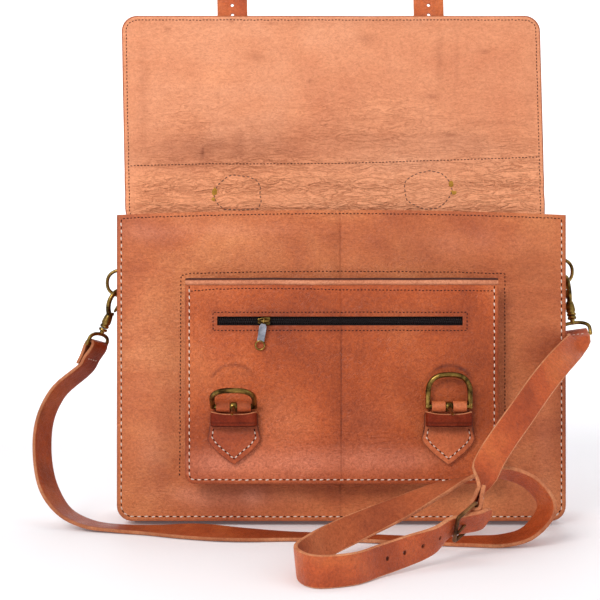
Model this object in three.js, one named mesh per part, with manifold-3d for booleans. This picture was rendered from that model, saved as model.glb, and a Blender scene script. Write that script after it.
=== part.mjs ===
// Tan leather satchel standing with its flap open: body, flap, box pocket, buckles and shoulder strap.
// Millimetres, +Z up. The front faces -Y and the origin is the middle of the base, on the floor.
import * as THREE from "three";
import { mergeVertices } from "three/addons/utils/BufferGeometryUtils.js";
import Module from "manifold-3d";

// Driving dimensions of the body
const GAP = 0.3;
const LEATHER = 2.5;
const BAG = { half: 190, height: 263, crown: 4, depth: 80, lift: 4, corner: 13 };
const BELLY = { front: 7, back: 4, reach: 330, start: 5 };
const CREASE = { x: -1, depth: 1.4, spread: 6, fade: 22 };
const GUSSET = { thickness: 2, top: 255, fold: 6, foldTop: 200, blend: 60 };
// One row for each line along the gusset: where it lies in the depth, and how far it is set in from the
// panels' edge at the sides and at the base. The base sags below the edge, down to the floor.
const GUSSET_SECTION = [
  { y: -35.2, side: 0.4, base: 0.4 },
  { y: -35.2, side: 4.6, base: 4.0 },
  { y: -32.0, side: 6.0, base: 4.4 },
  { y: -26.0, side: 6.0, base: -2.2 },
  { y: -17.0, side: 6.0, base: -4.0 },
  { y: 0.0, side: 6.0, base: -4.0 },
];

// Flap, its lining and what is sewn to it
const FLAP = { bend: 262, top: 449, corner: 14, lean: 4.2, back: 3.5 };
const RIPPLE = { height: 1.3, count: 3, reach: 66, rows: 9 };
const LINING = { thickness: 1.2, foot: 258, inset: 1.2 };
const FLAP_STRAP = { width: 27.5, foot: 373, tip: 539, hole: 4, firstHole: 452.5, pitch: 9, holes: 7 };
const FLAP_STRAP_X = { left: -92.8, right: 87.3 };
const HANDLE = { left: -92, right: 82, z: 287, patch: 19, roll: 7, reach: 36, droop: 9 };

// Box pocket and its zip
const POCKET = { x: -0.5, half: 129.5, bottom: 39, top: 208, front: -63, belly: 3, corner: 8 };
const POCKET_WALL = { thickness: 2, recess: 6, edge: 0.6, flange: 9, below: 8.4 };
// The rolled hem along the pocket's top: each row's height below the edge, and its swell to either side.
const HEM = [
  { drop: 6.4, out: 0, back: 0 },
  { drop: 5.2, out: 1.5, back: 0.8 },
  { drop: 2.6, out: 2.2, back: 1.4 },
  { drop: 0.5, out: 1.2, back: 0.4 },
];
const ZIP = { left: -103.5, right: 99.5, bottom: 170, top: 177.4, tape: 1, margin: 4, rib: 1.8, ribHalf: 2 };
const SLIDER = { x: -64.7, length: 10, height: 5.8, proud: 2.6, bridge: 5.6, bridgeWire: 0.9 };
const PULL = { ring: 2, wire: 0.6, plate: 6, plateEnd: 16, plateThick: 1.2, end: 4.5, tilt: 9, skew: 9 };

// Pocket buckles
const BUCKLE = { z: 103.5, half: 17.25, leg: 9.25, wire: 2.2, roll: 4.6, bore: 2.7, rollHalf: 14.3 };
const BUCKLE_SIDES = {
  left: { x: -89.4, swing: 56 },
  right: { x: 87.3, swing: 6 },
};
const TAB = { thickness: 3, slot: 3.1, slotFoot: 5.2 };
// The shield of a buckle tab: each row's drop below the bar and its half width.
const SHIELD = [
  { drop: 0, half: 14.3 },
  { drop: 4.2, half: 14.6 },
  { drop: 5.4, half: 19.6 },
  { drop: 16.5, half: 20 },
  { drop: 26.5, half: 22 },
  { drop: 33, half: 16.6 },
  { drop: 47.8, half: 0.8 },
];
const KEEPER = { half: 18, rise: 10.2, thickness: 2, top: 5.4, height: 13 };
// The keeper from its middle to one side: how far in from its side it is, and how far below its rise.
const KEEPER_BEND = [
  { inset: 18, below: -0.6 },
  { inset: 3, below: 0 },
  { inset: 0.8, below: 1 },
  { inset: 0, below: 3 },
  { inset: 0, below: 6.6 },
];
const PRONG = { ring: 4, width: 2.3, length: 28, wire: 1.6, angle: 100 };

// Rings, snap hooks and swivels at the sides
const RING = { half: 11.5, leg: 4, rise: 14.5, wire: 1.5 };
const RING_TAB = { half: 20, width: 18, thickness: 2 };
// The ring tab from its middle to one end: the share of its half length, and of its lift over the ring.
const RING_TAB_BEND = [
  { share: 0, lift: 1 },
  { share: 0.14, lift: 0.9 },
  { share: 0.3, lift: 0.35 },
  { share: 0.6, lift: 0 },
  { share: 1, lift: 0 },
];
const HOOK = { barrel: 14, barrelRadius: 4, wire: 2, crest: 36, play: 1 };
// The claw of a snap hook, from the barrel round to its tip, in the hook's own plane.
const CLAW = [
  { x: 0, z: 12 },
  { x: -5.4, z: 18.5 },
  { x: -7.5, z: 25 },
  { x: -5.4, z: 32.5 },
  { x: 0, z: HOOK.crest },
  { x: 5.2, z: 33.4 },
  { x: 7.2, z: 29 },
  { x: 6.9, z: 26.8 },
];
const SHOULDER = [
  { x: 0, z: 11 },
  { x: 3.6, z: 14.4 },
];
const GATE = { x: 4.6, z: 15.6, lean: 2, foot: 1.6, length: 10.4, wire: 1.3 };
const EYE = {
  half: 13.5, leg: 4.5, rise: 6.5, wire: 1.6,
  neck: 6, neckRadius: 2, collar: 3.8, collarHeight: 2.4,
};
// On each side: the ring's height, how far out on the ring the hook hangs, the hook's axis, the way its
// claw faces, and the direction of the bar that the strap is folded round.
const SIDES = {
  left: {
    sign: -1, z: 206, out: 9,
    axis: [0.4, 0, 0.917], claw: [0.5, 0.86, -0.2], bar: [0.418, 0.889, -0.185],
  },
  right: {
    sign: 1, z: 216, out: 13,
    axis: [-0.1, 0.26, 0.96], claw: [0.05, 0.96, -0.26], bar: [0.965, -0.147, 0.14],
  },
};

// Shoulder strap: width, thickness, and the middle line with the direction of its width
const STRAP = { width: 22, thickness: 3, tail: 20, hole: 3.4, stitchGap: 1.8 };
const LONG_ROUTE = [
  { at: [-229, -6, 131], across: [0.45, 0.88, -0.1] },
  { at: [-245, -12, 111], across: [0.45, 0.88, -0.1] },
  { at: [-255, -20, 88], across: [0.45, 0.88, 0] },
  { at: [-255.5, -29, 59], across: [0.45, 0.88, 0] },
  { at: [-248, -39, 32], across: [0.4, 0.9, 0.1] },
  { at: [-233, -48, 13.5], across: [0.3, 0.95, 0] },
  { at: [-211, -57, 4.6], across: [0.25, 0.96, 0] },
  { at: [-185, -64, 2.4], across: [0.2, 0.97, 0] },
  { at: [-155, -74, 3], across: [0.3, 0.95, 0.1] },
  { at: [-123, -90, 5.2], across: [0.3, 0.9, 0.3] },
  { at: [-88, -100, 4.8], across: [0, 0.97, 0.25] },
  { at: [-43, -97, 2.4], across: [0, 1, 0.05] },
  { at: [3, -100, 2], across: [0.1, 1, 0] },
  { at: [41, -108, 2], across: [0.2, 0.98, 0] },
  { at: [73, -114, 2], across: [0.1, 0.99, 0] },
  { at: [100, -119, 3], across: [0.05, 0.98, 0.1] },
  { at: [124, -122, 4.2], across: [-0.1, 0.97, 0.15] },
  { at: [143, -122, 10.5], across: [-0.25, 0.95, 0.1] },
  { at: [157, -121, 30], across: [-0.45, 0.89, 0] },
  { at: [147, -118, 47], across: [-0.35, 0.87, -0.35] },
  { at: [125, -116, 56], across: [0, 0.86, -0.5] },
  { at: [100, -119, 53.5], across: [0.1, 0.97, -0.2] },
  { at: [73, -127, 45], across: [0, 0.95, 0.25] },
  { at: [41, -143, 33], across: [-0.1, 0.8, 0.55] },
  { at: [2, -167, 21], across: [-0.1, 0.55, 0.82] },
  { at: [-24, -195, 14], across: [-0.15, 0.25, 0.95] },
  { at: [-37, -230, 11.6], across: [-0.1, 0, 1] },
  { at: [-25, -258, 11.4], across: [0, 0, 1] },
  { at: [0, -251, 11.4], across: [0, 0, 1] },
  { at: [21, -226, 12], across: [0, 0.05, 1] },
  { at: [40, -209, 14.5], across: [0, 0, 1] },
  { at: [61, -194, 19], across: [0, -0.35, 0.93] },
];
const SHORT_ROUTE = [
  { at: [201, -27, 157], across: [0.9, -0.05, -0.3] },
  { at: [198.5, -39, 153.5], across: [0.55, 0.05, -0.83] },
  { at: [189, -55, 147.5], across: [0.55, -0.1, -0.82] },
  { at: [176, -71, 138], across: [0.68, -0.1, -0.72] },
  { at: [158, -90, 121.5], across: [0.72, -0.1, -0.67] },
  { at: [138, -110, 100], across: [0.72, -0.12, -0.65] },
  { at: [120, -128, 81], across: [0.68, -0.2, -0.68] },
  { at: [108, -141, 66], across: [0.5, -0.4, -0.72] },
];
// Strap buckle: the middle of the bar that holds the tongue down, the way along the strap and the way
// across it.
const CLASP = { bar: [78.5, -180, 23.6], along: [0.71, 0.52, 0.465], across: [0.0125, -0.675, 0.739] };
const CLASP_SIZE = { length: 20.8, half: 13.8, wire: 1.5, corner: 2.2, tip: 9, prong: 1.1, slot: 2.6 };
const TONGUE = { under: 4.1, over: 7.2 };
const HOLE_STEPS = [17.5, 35, 52.5, 70];

// Colours of the materials
const FINISH = {
  panel: { color: 0xc97a48, roughness: 0.5 },
  pocket: { color: 0xc46430, roughness: 0.42 },
  lining: { color: 0xe0a57d, roughness: 0.6 },
  strap: { color: 0xc86a34, roughness: 0.5 },
  keeper: { color: 0x7a2e14, roughness: 0.45 },
  tab: { color: 0xa55230, roughness: 0.5 },
  zip: { color: 0x1a1113, roughness: 0.8 },
  brass: { color: 0x8a6c34, roughness: 0.35, metalness: 1 },
  steel: { color: 0xa9abad, roughness: 0.3, metalness: 1 },
};

const wasm = await Module();
wasm.setup();

const { clamp, degToRad, lerp, smoothstep } = THREE.MathUtils;
const vector = (list) => new THREE.Vector3(...list);
const unit = (list) => vector(list).normalize();
const between = (count, from, to) => Array.from({ length: count + 1 }, (_, i) => lerp(from, to, i / count));

// Turns a closed mesh's faces outwards if they point in.
function facingOut(geometry) {
  const { position } = geometry.attributes;
  const index = geometry.index.array;
  const [a, b, c] = [new THREE.Vector3(), new THREE.Vector3(), new THREE.Vector3()];
  let volume = 0;
  for (let i = 0; i < index.length; i += 3) {
    a.fromBufferAttribute(position, index[i]);
    b.fromBufferAttribute(position, index[i + 1]);
    c.fromBufferAttribute(position, index[i + 2]);
    volume += a.dot(b.cross(c));
  }
  if (volume < 0) {
    for (let i = 0; i < index.length; i += 3) {
      [index[i], index[i + 1]] = [index[i + 1], index[i]];
    }
  }
  return geometry;
}

function indexed(positions, index) {
  const geometry = new THREE.BufferGeometry();
  geometry.setAttribute("position", new THREE.Float32BufferAttribute(positions, 3));
  geometry.setIndex(index);
  return facingOut(geometry);
}

// A closed wall between two faces, each a function of a row and a column.
function wall(rows, columns, outer, inner) {
  const positions = [];
  for (const face of [outer, inner]) {
    for (const row of rows) {
      for (const column of columns) positions.push(...face(row, column).toArray());
    }
  }
  const width = columns.length;
  const lastRow = rows.length - 1;
  const lastColumn = width - 1;
  const index = [];
  const at = (side, i, j) => (side * rows.length + i) * width + j;
  const quad = (a, b, c, d) => index.push(a, b, c, a, c, d);
  for (let i = 0; i < lastRow; i += 1) {
    for (let j = 0; j < lastColumn; j += 1) {
      quad(at(0, i, j), at(0, i, j + 1), at(0, i + 1, j + 1), at(0, i + 1, j));
      quad(at(1, i, j), at(1, i + 1, j), at(1, i + 1, j + 1), at(1, i, j + 1));
    }
    quad(at(0, i, 0), at(0, i + 1, 0), at(1, i + 1, 0), at(1, i, 0));
    quad(at(0, i, lastColumn), at(1, i, lastColumn), at(1, i + 1, lastColumn), at(0, i + 1, lastColumn));
  }
  for (let j = 0; j < lastColumn; j += 1) {
    quad(at(0, 0, j), at(1, 0, j), at(1, 0, j + 1), at(0, 0, j + 1));
    quad(at(0, lastRow, j), at(0, lastRow, j + 1), at(1, lastRow, j + 1), at(1, lastRow, j));
  }
  return indexed(positions, index);
}

// A flat strap along stations that each have a middle, the direction of the width, and a width.
function ribbon(stations, thickness) {
  const frames = stations.map((station, i) => {
    const before = stations[Math.max(i - 1, 0)].middle;
    const after = stations[Math.min(i + 1, stations.length - 1)].middle;
    const forward = after.clone().sub(before).normalize();
    const across = station.across.clone().addScaledVector(forward, -forward.dot(station.across)).normalize();
    return { ...station, across, up: forward.cross(across) };
  });
  const face = (side) => (frame, edge) =>
    frame.middle
      .clone()
      .addScaledVector(frame.across, (edge * frame.width) / 2)
      .addScaledVector(frame.up, (side * thickness) / 2);
  return wall(frames, [-1, 1], face(1), face(-1));
}

// Stations on a smooth line through points, with the width's direction eased between them.
function eased(points, steps, width) {
  const middles = new THREE.CatmullRomCurve3(points.map((point) => point.middle), false, "centripetal");
  const crosses = new THREE.CatmullRomCurve3(points.map((point) => point.across), false, "centripetal");
  const count = (points.length - 1) * steps;
  return between(count, 0, 1).map((t) => ({
    middle: middles.getPoint(t),
    across: crosses.getPoint(t).normalize(),
    width,
  }));
}

const circle = (radius, sides) => {
  const corners = between(sides, 0, 2 * Math.PI).slice(0, -1);
  return new THREE.Shape(corners.map((a) => new THREE.Vector2(radius * Math.cos(a), radius * Math.sin(a))));
};

// A round bar along a smooth line through points.
function rod(points, radius, steps = 1, sides = 7) {
  const extrudePath = new THREE.CatmullRomCurve3(points, false, "centripetal");
  return new THREE.ExtrudeGeometry(circle(radius, sides), { steps, extrudePath, bevelEnabled: false });
}

function solidOf(geometry) {
  const bare = geometry.clone();
  bare.deleteAttribute("normal");
  bare.deleteAttribute("uv");
  const merged = facingOut(mergeVertices(bare, 1e-4));
  const vertProperties = new Float32Array(merged.attributes.position.array);
  const triVerts = new Uint32Array(merged.index.array);
  return new wasm.Manifold(new wasm.Mesh({ numProp: 3, vertProperties, triVerts }));
}

function geometryOf(solid) {
  const { vertProperties, triVerts } = solid.getMesh();
  return indexed(Array.from(vertProperties), Array.from(triVerts));
}

const joined = (...pieces) => geometryOf(pieces.map(solidOf).reduce((sum, piece) => sum.add(piece)));
const cut = (body, ...tools) =>
  geometryOf(tools.map(solidOf).reduce((rest, tool) => rest.subtract(tool), solidOf(body)));
const block = (low, high) => {
  const size = vector(high).sub(vector(low));
  const middle = vector(low).add(vector(high)).multiplyScalar(0.5);
  return new THREE.BoxGeometry(...size.toArray()).translate(...middle.toArray());
};

// A straight bar along X with an arch over it along +Z, as on a buckle frame, a D-ring or a swivel eye.
function archedWire({ half, leg, rise, wire }, steps = 15) {
  const arch = between(10, 0, Math.PI).map((a) =>
    vector([half * Math.cos(a), 0, leg + rise * Math.sin(a)]));
  const bow = [vector([half, 0, 0]), ...arch, vector([-half, 0, 0])];
  const ends = half + wire * 0.9;
  return joined(rod([vector([-ends, 0, 0]), vector([ends, 0, 0])], wire), rod(bow, wire, steps));
}

const bag = new THREE.Group();
function add(name, geometry, finish, parent = bag) {
  const mesh = new THREE.Mesh(geometry, new THREE.MeshStandardMaterial(FINISH[finish]));
  mesh.name = name;
  parent.add(mesh);
}

// A group turned so that its own X and Z lie along the given directions.
function turned(origin, xAxis, zAxis) {
  const up = zAxis.clone().normalize();
  const side = xAxis.clone().addScaledVector(up, -up.dot(xAxis)).normalize();
  const group = new THREE.Group();
  group.setRotationFromMatrix(new THREE.Matrix4().makeBasis(side, up.clone().cross(side), up));
  group.position.copy(origin);
  bag.add(group);
  return group;
}

// Surfaces of the front, the back and the pocket
const swell = (x, z) => (1 - (x / BAG.half) ** 2) * Math.sin((Math.PI * (z + BELLY.start)) / BELLY.reach);
// The fold down the middle of the front fades out above the foot of the leather that it is pressed into.
const creaseDip = (x, rise) =>
  CREASE.depth *
  Math.exp(-(((x - CREASE.x) / CREASE.spread) ** 2)) *
  smoothstep(rise, CREASE.fade, 2 * CREASE.fade);
const plainFrontY = (x, z) => -BAG.depth / 2 - BELLY.front * swell(x, z);
const frontY = (x, z) => plainFrontY(x, z) + creaseDip(x, z);
const flapRise = (z) => clamp((z - FLAP.bend) / (FLAP.top - FLAP.bend), 0, 2);
const flapShift = (z) => -FLAP.lean * flapRise(z);
function backY(x, z) {
  const belly = BELLY.back * swell(x, Math.min(z, BAG.height));
  const fold = clamp((z - FLAP.bend) / RIPPLE.reach, 0, 1);
  const ripple = RIPPLE.height * Math.sin(2 * Math.PI * RIPPLE.count * fold) * (1 - fold);
  return BAG.depth / 2 + belly * (1 - flapRise(Math.min(z, FLAP.top))) + FLAP.back * flapRise(z) + ripple;
}
const backPoint = (x, z, proud) => vector([x + flapShift(z), backY(x, z) + proud, z]);
const pocketSwell = (x, z) =>
  (1 - ((x - POCKET.x) / POCKET.half) ** 2) *
  Math.sin((Math.PI * (z - POCKET.bottom)) / (1.15 * (POCKET.top - POCKET.bottom)));
const pocketY = (x, z) =>
  POCKET.front - POCKET.belly * pocketSwell(x, z) + 0.6 * creaseDip(x, z - POCKET.bottom);

// Half the width of a panel at a height above its round-cornered foot.
const roundedHalf = (half, radius, rise) =>
  rise >= radius ? half : half - radius + Math.sqrt(radius ** 2 - (radius - rise) ** 2);
const CORNER_STEPS = [0, 0.06, 0.25, 0.6, 1];
const COLUMNS = [
  -1, -0.93, -0.72, -0.48, -0.24, -0.06, CREASE.x / BAG.half,
  0.05, 0.24, 0.48, 0.72, 0.93, 1,
];

function frontPanel() {
  const rows = [
    ...CORNER_STEPS.map((step) => BAG.lift + BAG.corner * step),
    ...between(8, BAG.lift + BAG.corner, BAG.height).slice(1),
  ];
  const face = (behind) => (row, column) => {
    const x = column * roundedHalf(BAG.half, BAG.corner, row - BAG.lift);
    const share = (row - BAG.lift) / (BAG.height - BAG.lift);
    const z = row + share * BAG.crown * (1 - column ** 2);
    return vector([x, frontY(x, z) + behind, z]);
  };
  add("front_panel", wall(rows, COLUMNS, face(0), face(LEATHER)), "panel");
}

function backAndFlap() {
  const rows = [
    ...CORNER_STEPS.map((step) => BAG.lift + BAG.corner * step),
    ...between(4, BAG.lift + BAG.corner, FLAP.bend).slice(1),
    ...between(RIPPLE.rows, FLAP.bend, FLAP.bend + RIPPLE.reach).slice(1),
    ...between(3, FLAP.bend + RIPPLE.reach, FLAP.top - FLAP.corner).slice(1),
    ...CORNER_STEPS.slice(0, -1).reverse().map((step) => FLAP.top - FLAP.corner * step),
  ];
  const columns = [-1, -0.93, -0.7, -0.35, 0, 0.35, 0.7, 0.93, 1];
  const face = (proud) => (row, column) => {
    const foot = roundedHalf(BAG.half, BAG.corner, row - BAG.lift);
    const head = roundedHalf(BAG.half, FLAP.corner, FLAP.top - row);
    return backPoint(column * Math.min(foot, head), row, proud);
  };
  add("back_flap", wall(rows, columns, face(0), face(-LEATHER)), "panel");
}

function flapLining() {
  const top = FLAP.top - LINING.inset;
  const rows = [
    LINING.foot,
    ...between(RIPPLE.rows, FLAP.bend, FLAP.bend + RIPPLE.reach),
    ...between(2, FLAP.bend + RIPPLE.reach, top - FLAP.corner).slice(1),
    ...CORNER_STEPS.slice(0, -1).reverse().map((step) => top - FLAP.corner * step),
  ];
  const columns = [-1, -0.7, -0.35, 0, 0.35, 0.7, 1];
  const face = (proud) => (row, column) =>
    backPoint(column * roundedHalf(BAG.half - LINING.inset, FLAP.corner, top - row), row, proud);
  const behind = -LEATHER - GAP;
  add("flap_lining", wall(rows, columns, face(behind), face(behind - LINING.thickness)), "lining");
}

// A closing strap on the outside of the flap: sewn at its foot, free beyond the flap's edge, with holes.
function flapStrap(side) {
  const x = FLAP_STRAP_X[side];
  const proud = GAP + LEATHER / 2;
  const tipRun = FLAP_STRAP.width / 2;
  const heights = [
    ...between(5, FLAP_STRAP.foot, FLAP_STRAP.tip - tipRun),
    ...[0.5, 0.8, 1].map((share) => FLAP_STRAP.tip - tipRun * (1 - share)),
  ];
  const stations = heights.map((z) => {
    const tipShare = clamp((z - FLAP_STRAP.tip + tipRun) / tipRun, 0, 0.98);
    const width = FLAP_STRAP.width * Math.sqrt(1 - tipShare ** 2);
    return { middle: backPoint(x, z, proud), across: vector([1, 0, 0]), width };
  });
  const holes = between(FLAP_STRAP.holes - 1, 0, FLAP_STRAP.holes - 1).map((step) => {
    const { x: cx, y: cy, z: cz } = backPoint(x, FLAP_STRAP.firstHole + FLAP_STRAP.pitch * step, proud);
    return rod([vector([cx, cy - LEATHER, cz]), vector([cx, cy + LEATHER, cz])], FLAP_STRAP.hole / 2);
  });
  add(`flap_strap_${side}`, cut(ribbon(stations, LEATHER), ...holes), "strap");
}

// The rolled top handle and the two round patches that hold it to the outside of the flap.
function handle() {
  const patch = (x) => {
    const face = (proud) => (step, column) => {
      const rise = HANDLE.patch * step;
      const half = Math.sqrt(Math.max(HANDLE.patch ** 2 - rise ** 2, 1));
      return backPoint(x + column * half, HANDLE.z + rise, proud);
    };
    const rows = [-1, -0.87, -0.6, -0.2, 0.2, 0.6, 0.87, 1];
    return wall(rows, [-1, -0.33, 0.33, 1], face(2 * GAP + LEATHER), face(2 * GAP));
  };
  const middle = (HANDLE.left + HANDLE.right) / 2;
  const half = (HANDLE.right - HANDLE.left) / 2;
  const foot = backY(middle, HANDLE.z) + LEATHER;
  const arch = between(8, Math.PI, 0).map((a) => {
    const out = Math.sin(a) ** 0.7;
    return vector([middle + half * Math.cos(a), foot + HANDLE.reach * out, HANDLE.z - HANDLE.droop * out]);
  });
  const inset = 1.2;
  const start = vector([HANDLE.left, foot - inset, HANDLE.z]);
  const end = vector([HANDLE.right, foot - inset, HANDLE.z]);
  const line = [start, ...arch.slice(1, -1), end];
  line.splice(1, 0, start.clone().add(vector([0, HANDLE.roll, 0])));
  line.splice(-1, 0, end.clone().add(vector([0, HANDLE.roll, 0])));
  add("handle", joined(patch(HANDLE.left), patch(HANDLE.right), rod(line, HANDLE.roll, 14)), "strap");
}

// A U-shaped route down the left edge of a panel, along its foot and up its right edge. Each station
// gives the place at a chosen inset from the edge, its height, and its share of the base's section.
function uRoute({ x, half, top, bottom, corner }, { side, arc, base, blend }) {
  const place = (sign, angle) => (inset) => {
    const bend = Math.max(corner - inset, 1);
    const reach = half - inset - bend + bend * Math.cos(angle);
    return { x: x + sign * reach, z: bottom + inset + bend - bend * Math.sin(angle) };
  };
  const straight = (sign, z) => ({
    z,
    low: blend ? 0.5 * smoothstep(-z, -bottom - corner - blend, -bottom - corner) : 0,
    place: (inset) => ({ x: x + sign * (half - inset), z }),
  });
  const curved = (sign, angle) => ({
    z: bottom,
    low: blend ? lerp(0.5, 1, angle / (Math.PI / 2)) : 0,
    place: place(sign, angle),
  });
  const along = (px) => ({
    z: bottom,
    low: blend ? 1 : 0,
    place: (inset) => ({ x: px, z: bottom + inset }),
  });
  const heights = between(side, top, bottom + corner);
  const angles = between(arc, 0, Math.PI / 2).slice(1);
  const run = between(base, x - half + corner, x + half - corner).slice(1, -1);
  return [
    ...heights.map((z) => straight(-1, z)),
    ...angles.map((angle) => curved(-1, angle)),
    ...run.map(along),
    ...angles.map((angle) => curved(1, angle)).reverse(),
    ...heights.map((z) => straight(1, z)).reverse(),
  ];
}

// Moves each point of an open line to its right by a thickness.
function beside(line, thickness) {
  const normals = line.slice(1).map((point, i) => {
    const run = { inset: point.inset - line[i].inset, y: point.y - line[i].y };
    const length = Math.hypot(run.inset, run.y);
    return { inset: run.y / length, y: -run.inset / length };
  });
  return line.map((point, i) => {
    const a = normals[Math.max(i - 1, 0)];
    const b = normals[Math.min(i, normals.length - 1)];
    const stretch = thickness / Math.max(1 + a.inset * b.inset + a.y * b.y, 0.8);
    return { inset: point.inset + stretch * (a.inset + b.inset), y: point.y + stretch * (a.y + b.y) };
  });
}

// How far the gusset's side is folded in at a height, beyond its section.
const sideFold = (y, z) =>
  GUSSET.fold * (1 - (y / 30) ** 2) * Math.sin(Math.PI * clamp(z / GUSSET.foldTop, 0, 1));

function gusset() {
  const mirrored = GUSSET_SECTION.slice(0, -1).reverse().map((row) => ({ ...row, y: -row.y }));
  const section = [...GUSSET_SECTION, ...mirrored];
  const outline = { x: 0, half: BAG.half, top: GUSSET.top, bottom: BAG.lift, corner: BAG.corner };
  const route = uRoute(outline, { side: 6, arc: 3, base: 6, blend: GUSSET.blend });
  const stations = route.map((station) => {
    const outer = section.map(({ y, side, base }) => {
      const fold = Math.abs(y) < 30 ? sideFold(y, station.z) : 0;
      return { y, inset: lerp(side + fold, base, station.low) };
    });
    return { station, outer, inner: beside(outer, GUSSET.thickness) };
  });
  const face = (layer) => ({ station, ...lines }, column) => {
    const { inset, y } = lines[layer][column];
    const { x, z } = station.place(inset);
    return vector([x, y, z]);
  };
  add("gusset", wall(stations, [...section.keys()], face("outer"), face("inner")), "panel");
}

function pocketFront() {
  const steps = CORNER_STEPS.map((step) => ({ z: POCKET.bottom + POCKET.corner * step, out: 0, back: 0 }));
  const hem = HEM.map(({ drop, ...swells }) => ({ z: POCKET.top - drop, ...swells }));
  const plain = between(6, POCKET.bottom + POCKET.corner, hem[0].z).slice(1, -1);
  const rows = [...steps, ...plain.map((z) => ({ z, out: 0, back: 0 })), ...hem];
  const face = (layer) => (row, column) => {
    const x = POCKET.x + column * roundedHalf(POCKET.half, POCKET.corner, row.z - POCKET.bottom);
    const behind = layer ? LEATHER + row.back : -row.out;
    return vector([x, pocketY(x, row.z) + behind, row.z]);
  };
  const reach = 20;
  const window = block(
    [ZIP.left, POCKET.front - reach, ZIP.bottom], [ZIP.right, POCKET.front + reach, ZIP.top]);
  add("pocket_front", cut(wall(rows, COLUMNS, face(0), face(1)), window), "pocket");
}

// The pocket's wall: a flange behind the pocket's front, the wall set in from its edge, and a flange on
// the front panel turned in under the pocket.
function pocketGusset() {
  const { thickness, recess, edge, flange, below } = POCKET_WALL;
  const route = uRoute({ ...POCKET, top: POCKET.top - below }, { side: 6, arc: 3, base: 6, blend: 0 });
  const outer = [
    { inset: edge, depth: 0, step: GAP + thickness },
    { inset: recess, depth: 0, step: GAP + thickness },
    { inset: recess, depth: 1, step: -GAP },
    { inset: recess + flange, depth: 1, step: -GAP },
  ];
  const inner = [
    { inset: edge, depth: 0, step: GAP },
    { inset: recess + thickness, depth: 0, step: GAP },
    { inset: recess + thickness, depth: 1, step: -GAP - thickness },
    { inset: recess + flange, depth: 1, step: -GAP - thickness },
  ];
  const face = (line) => (station, column) => {
    const { inset, depth, step } = line[column];
    const { x, z } = station.place(inset);
    return vector([x, depth ? plainFrontY(x, z) + step : pocketY(x, z) + LEATHER + step, z]);
  };
  add("pocket_gusset", wall(route, [...outer.keys()], face(outer), face(inner)), "pocket");
}

function zipTape() {
  const middle = (ZIP.bottom + ZIP.top) / 2;
  const rows = [
    { z: ZIP.bottom - ZIP.margin, rib: 0 },
    { z: middle - ZIP.ribHalf - 0.6, rib: 0 },
    { z: middle - ZIP.ribHalf, rib: ZIP.rib },
    { z: middle + ZIP.ribHalf, rib: ZIP.rib },
    { z: middle + ZIP.ribHalf + 0.6, rib: 0 },
    { z: ZIP.top + ZIP.margin, rib: 0 },
  ];
  const within = (x) => x > ZIP.left + 1 && x < ZIP.right - 1;
  const columns = [
    ZIP.left - ZIP.margin, ZIP.left + 0.4, ZIP.left + 1.2,
    ...COLUMNS.map((column) => POCKET.x + column * POCKET.half).filter(within),
    ZIP.right - 1.2, ZIP.right - 0.4, ZIP.right + ZIP.margin,
  ];
  const back = LEATHER + GAP + ZIP.tape;
  const outer = ({ z, rib }, x) => vector([x, pocketY(x, z) + LEATHER + GAP - (within(x) ? rib : 0), z]);
  const inner = ({ z }, x) => vector([x, pocketY(x, z) + back, z]);
  add("zip_tape", wall(rows, columns, outer, inner), "zip");
}

// The slider on the zip's coil, with the bridge that the pull hangs on.
const sliderAt = vector([SLIDER.x, 0, (ZIP.bottom + ZIP.top) / 2]);
sliderAt.y = pocketY(sliderAt.x, sliderAt.z);

function zipSlider() {
  const { length, height, proud, bridge, bridgeWire } = SLIDER;
  const outline = new THREE.Shape([
    new THREE.Vector2(-length / 2, height * 0.32),
    new THREE.Vector2(-length / 2, -height * 0.32),
    new THREE.Vector2(length * 0.1, -height / 2),
    new THREE.Vector2(length / 2, -height / 2),
    new THREE.Vector2(length / 2, height / 2),
    new THREE.Vector2(length * 0.1, height / 2),
  ]);
  const coilFront = LEATHER + GAP - ZIP.rib - 2 * GAP;
  const body = new THREE.ExtrudeGeometry(outline, { depth: proud + coilFront, bevelEnabled: false });
  body.rotateX(Math.PI / 2).translate(0, coilFront, 0);
  const feet = length / 2 - bridgeWire;
  const arch = [
    [-feet, -proud + 1, 0], [-feet, -bridge + 0.9, 0], [-feet + 1.2, -bridge, 0],
    [feet - 1.2, -bridge, 0], [feet, -bridge + 0.9, 0], [feet, -proud + 1, 0],
  ].map(vector);
  const geometry = joined(body, rod(arch, bridgeWire, 10, 6));
  add("zip_slider", geometry.translate(...sliderAt.toArray()), "steel");
}

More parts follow.
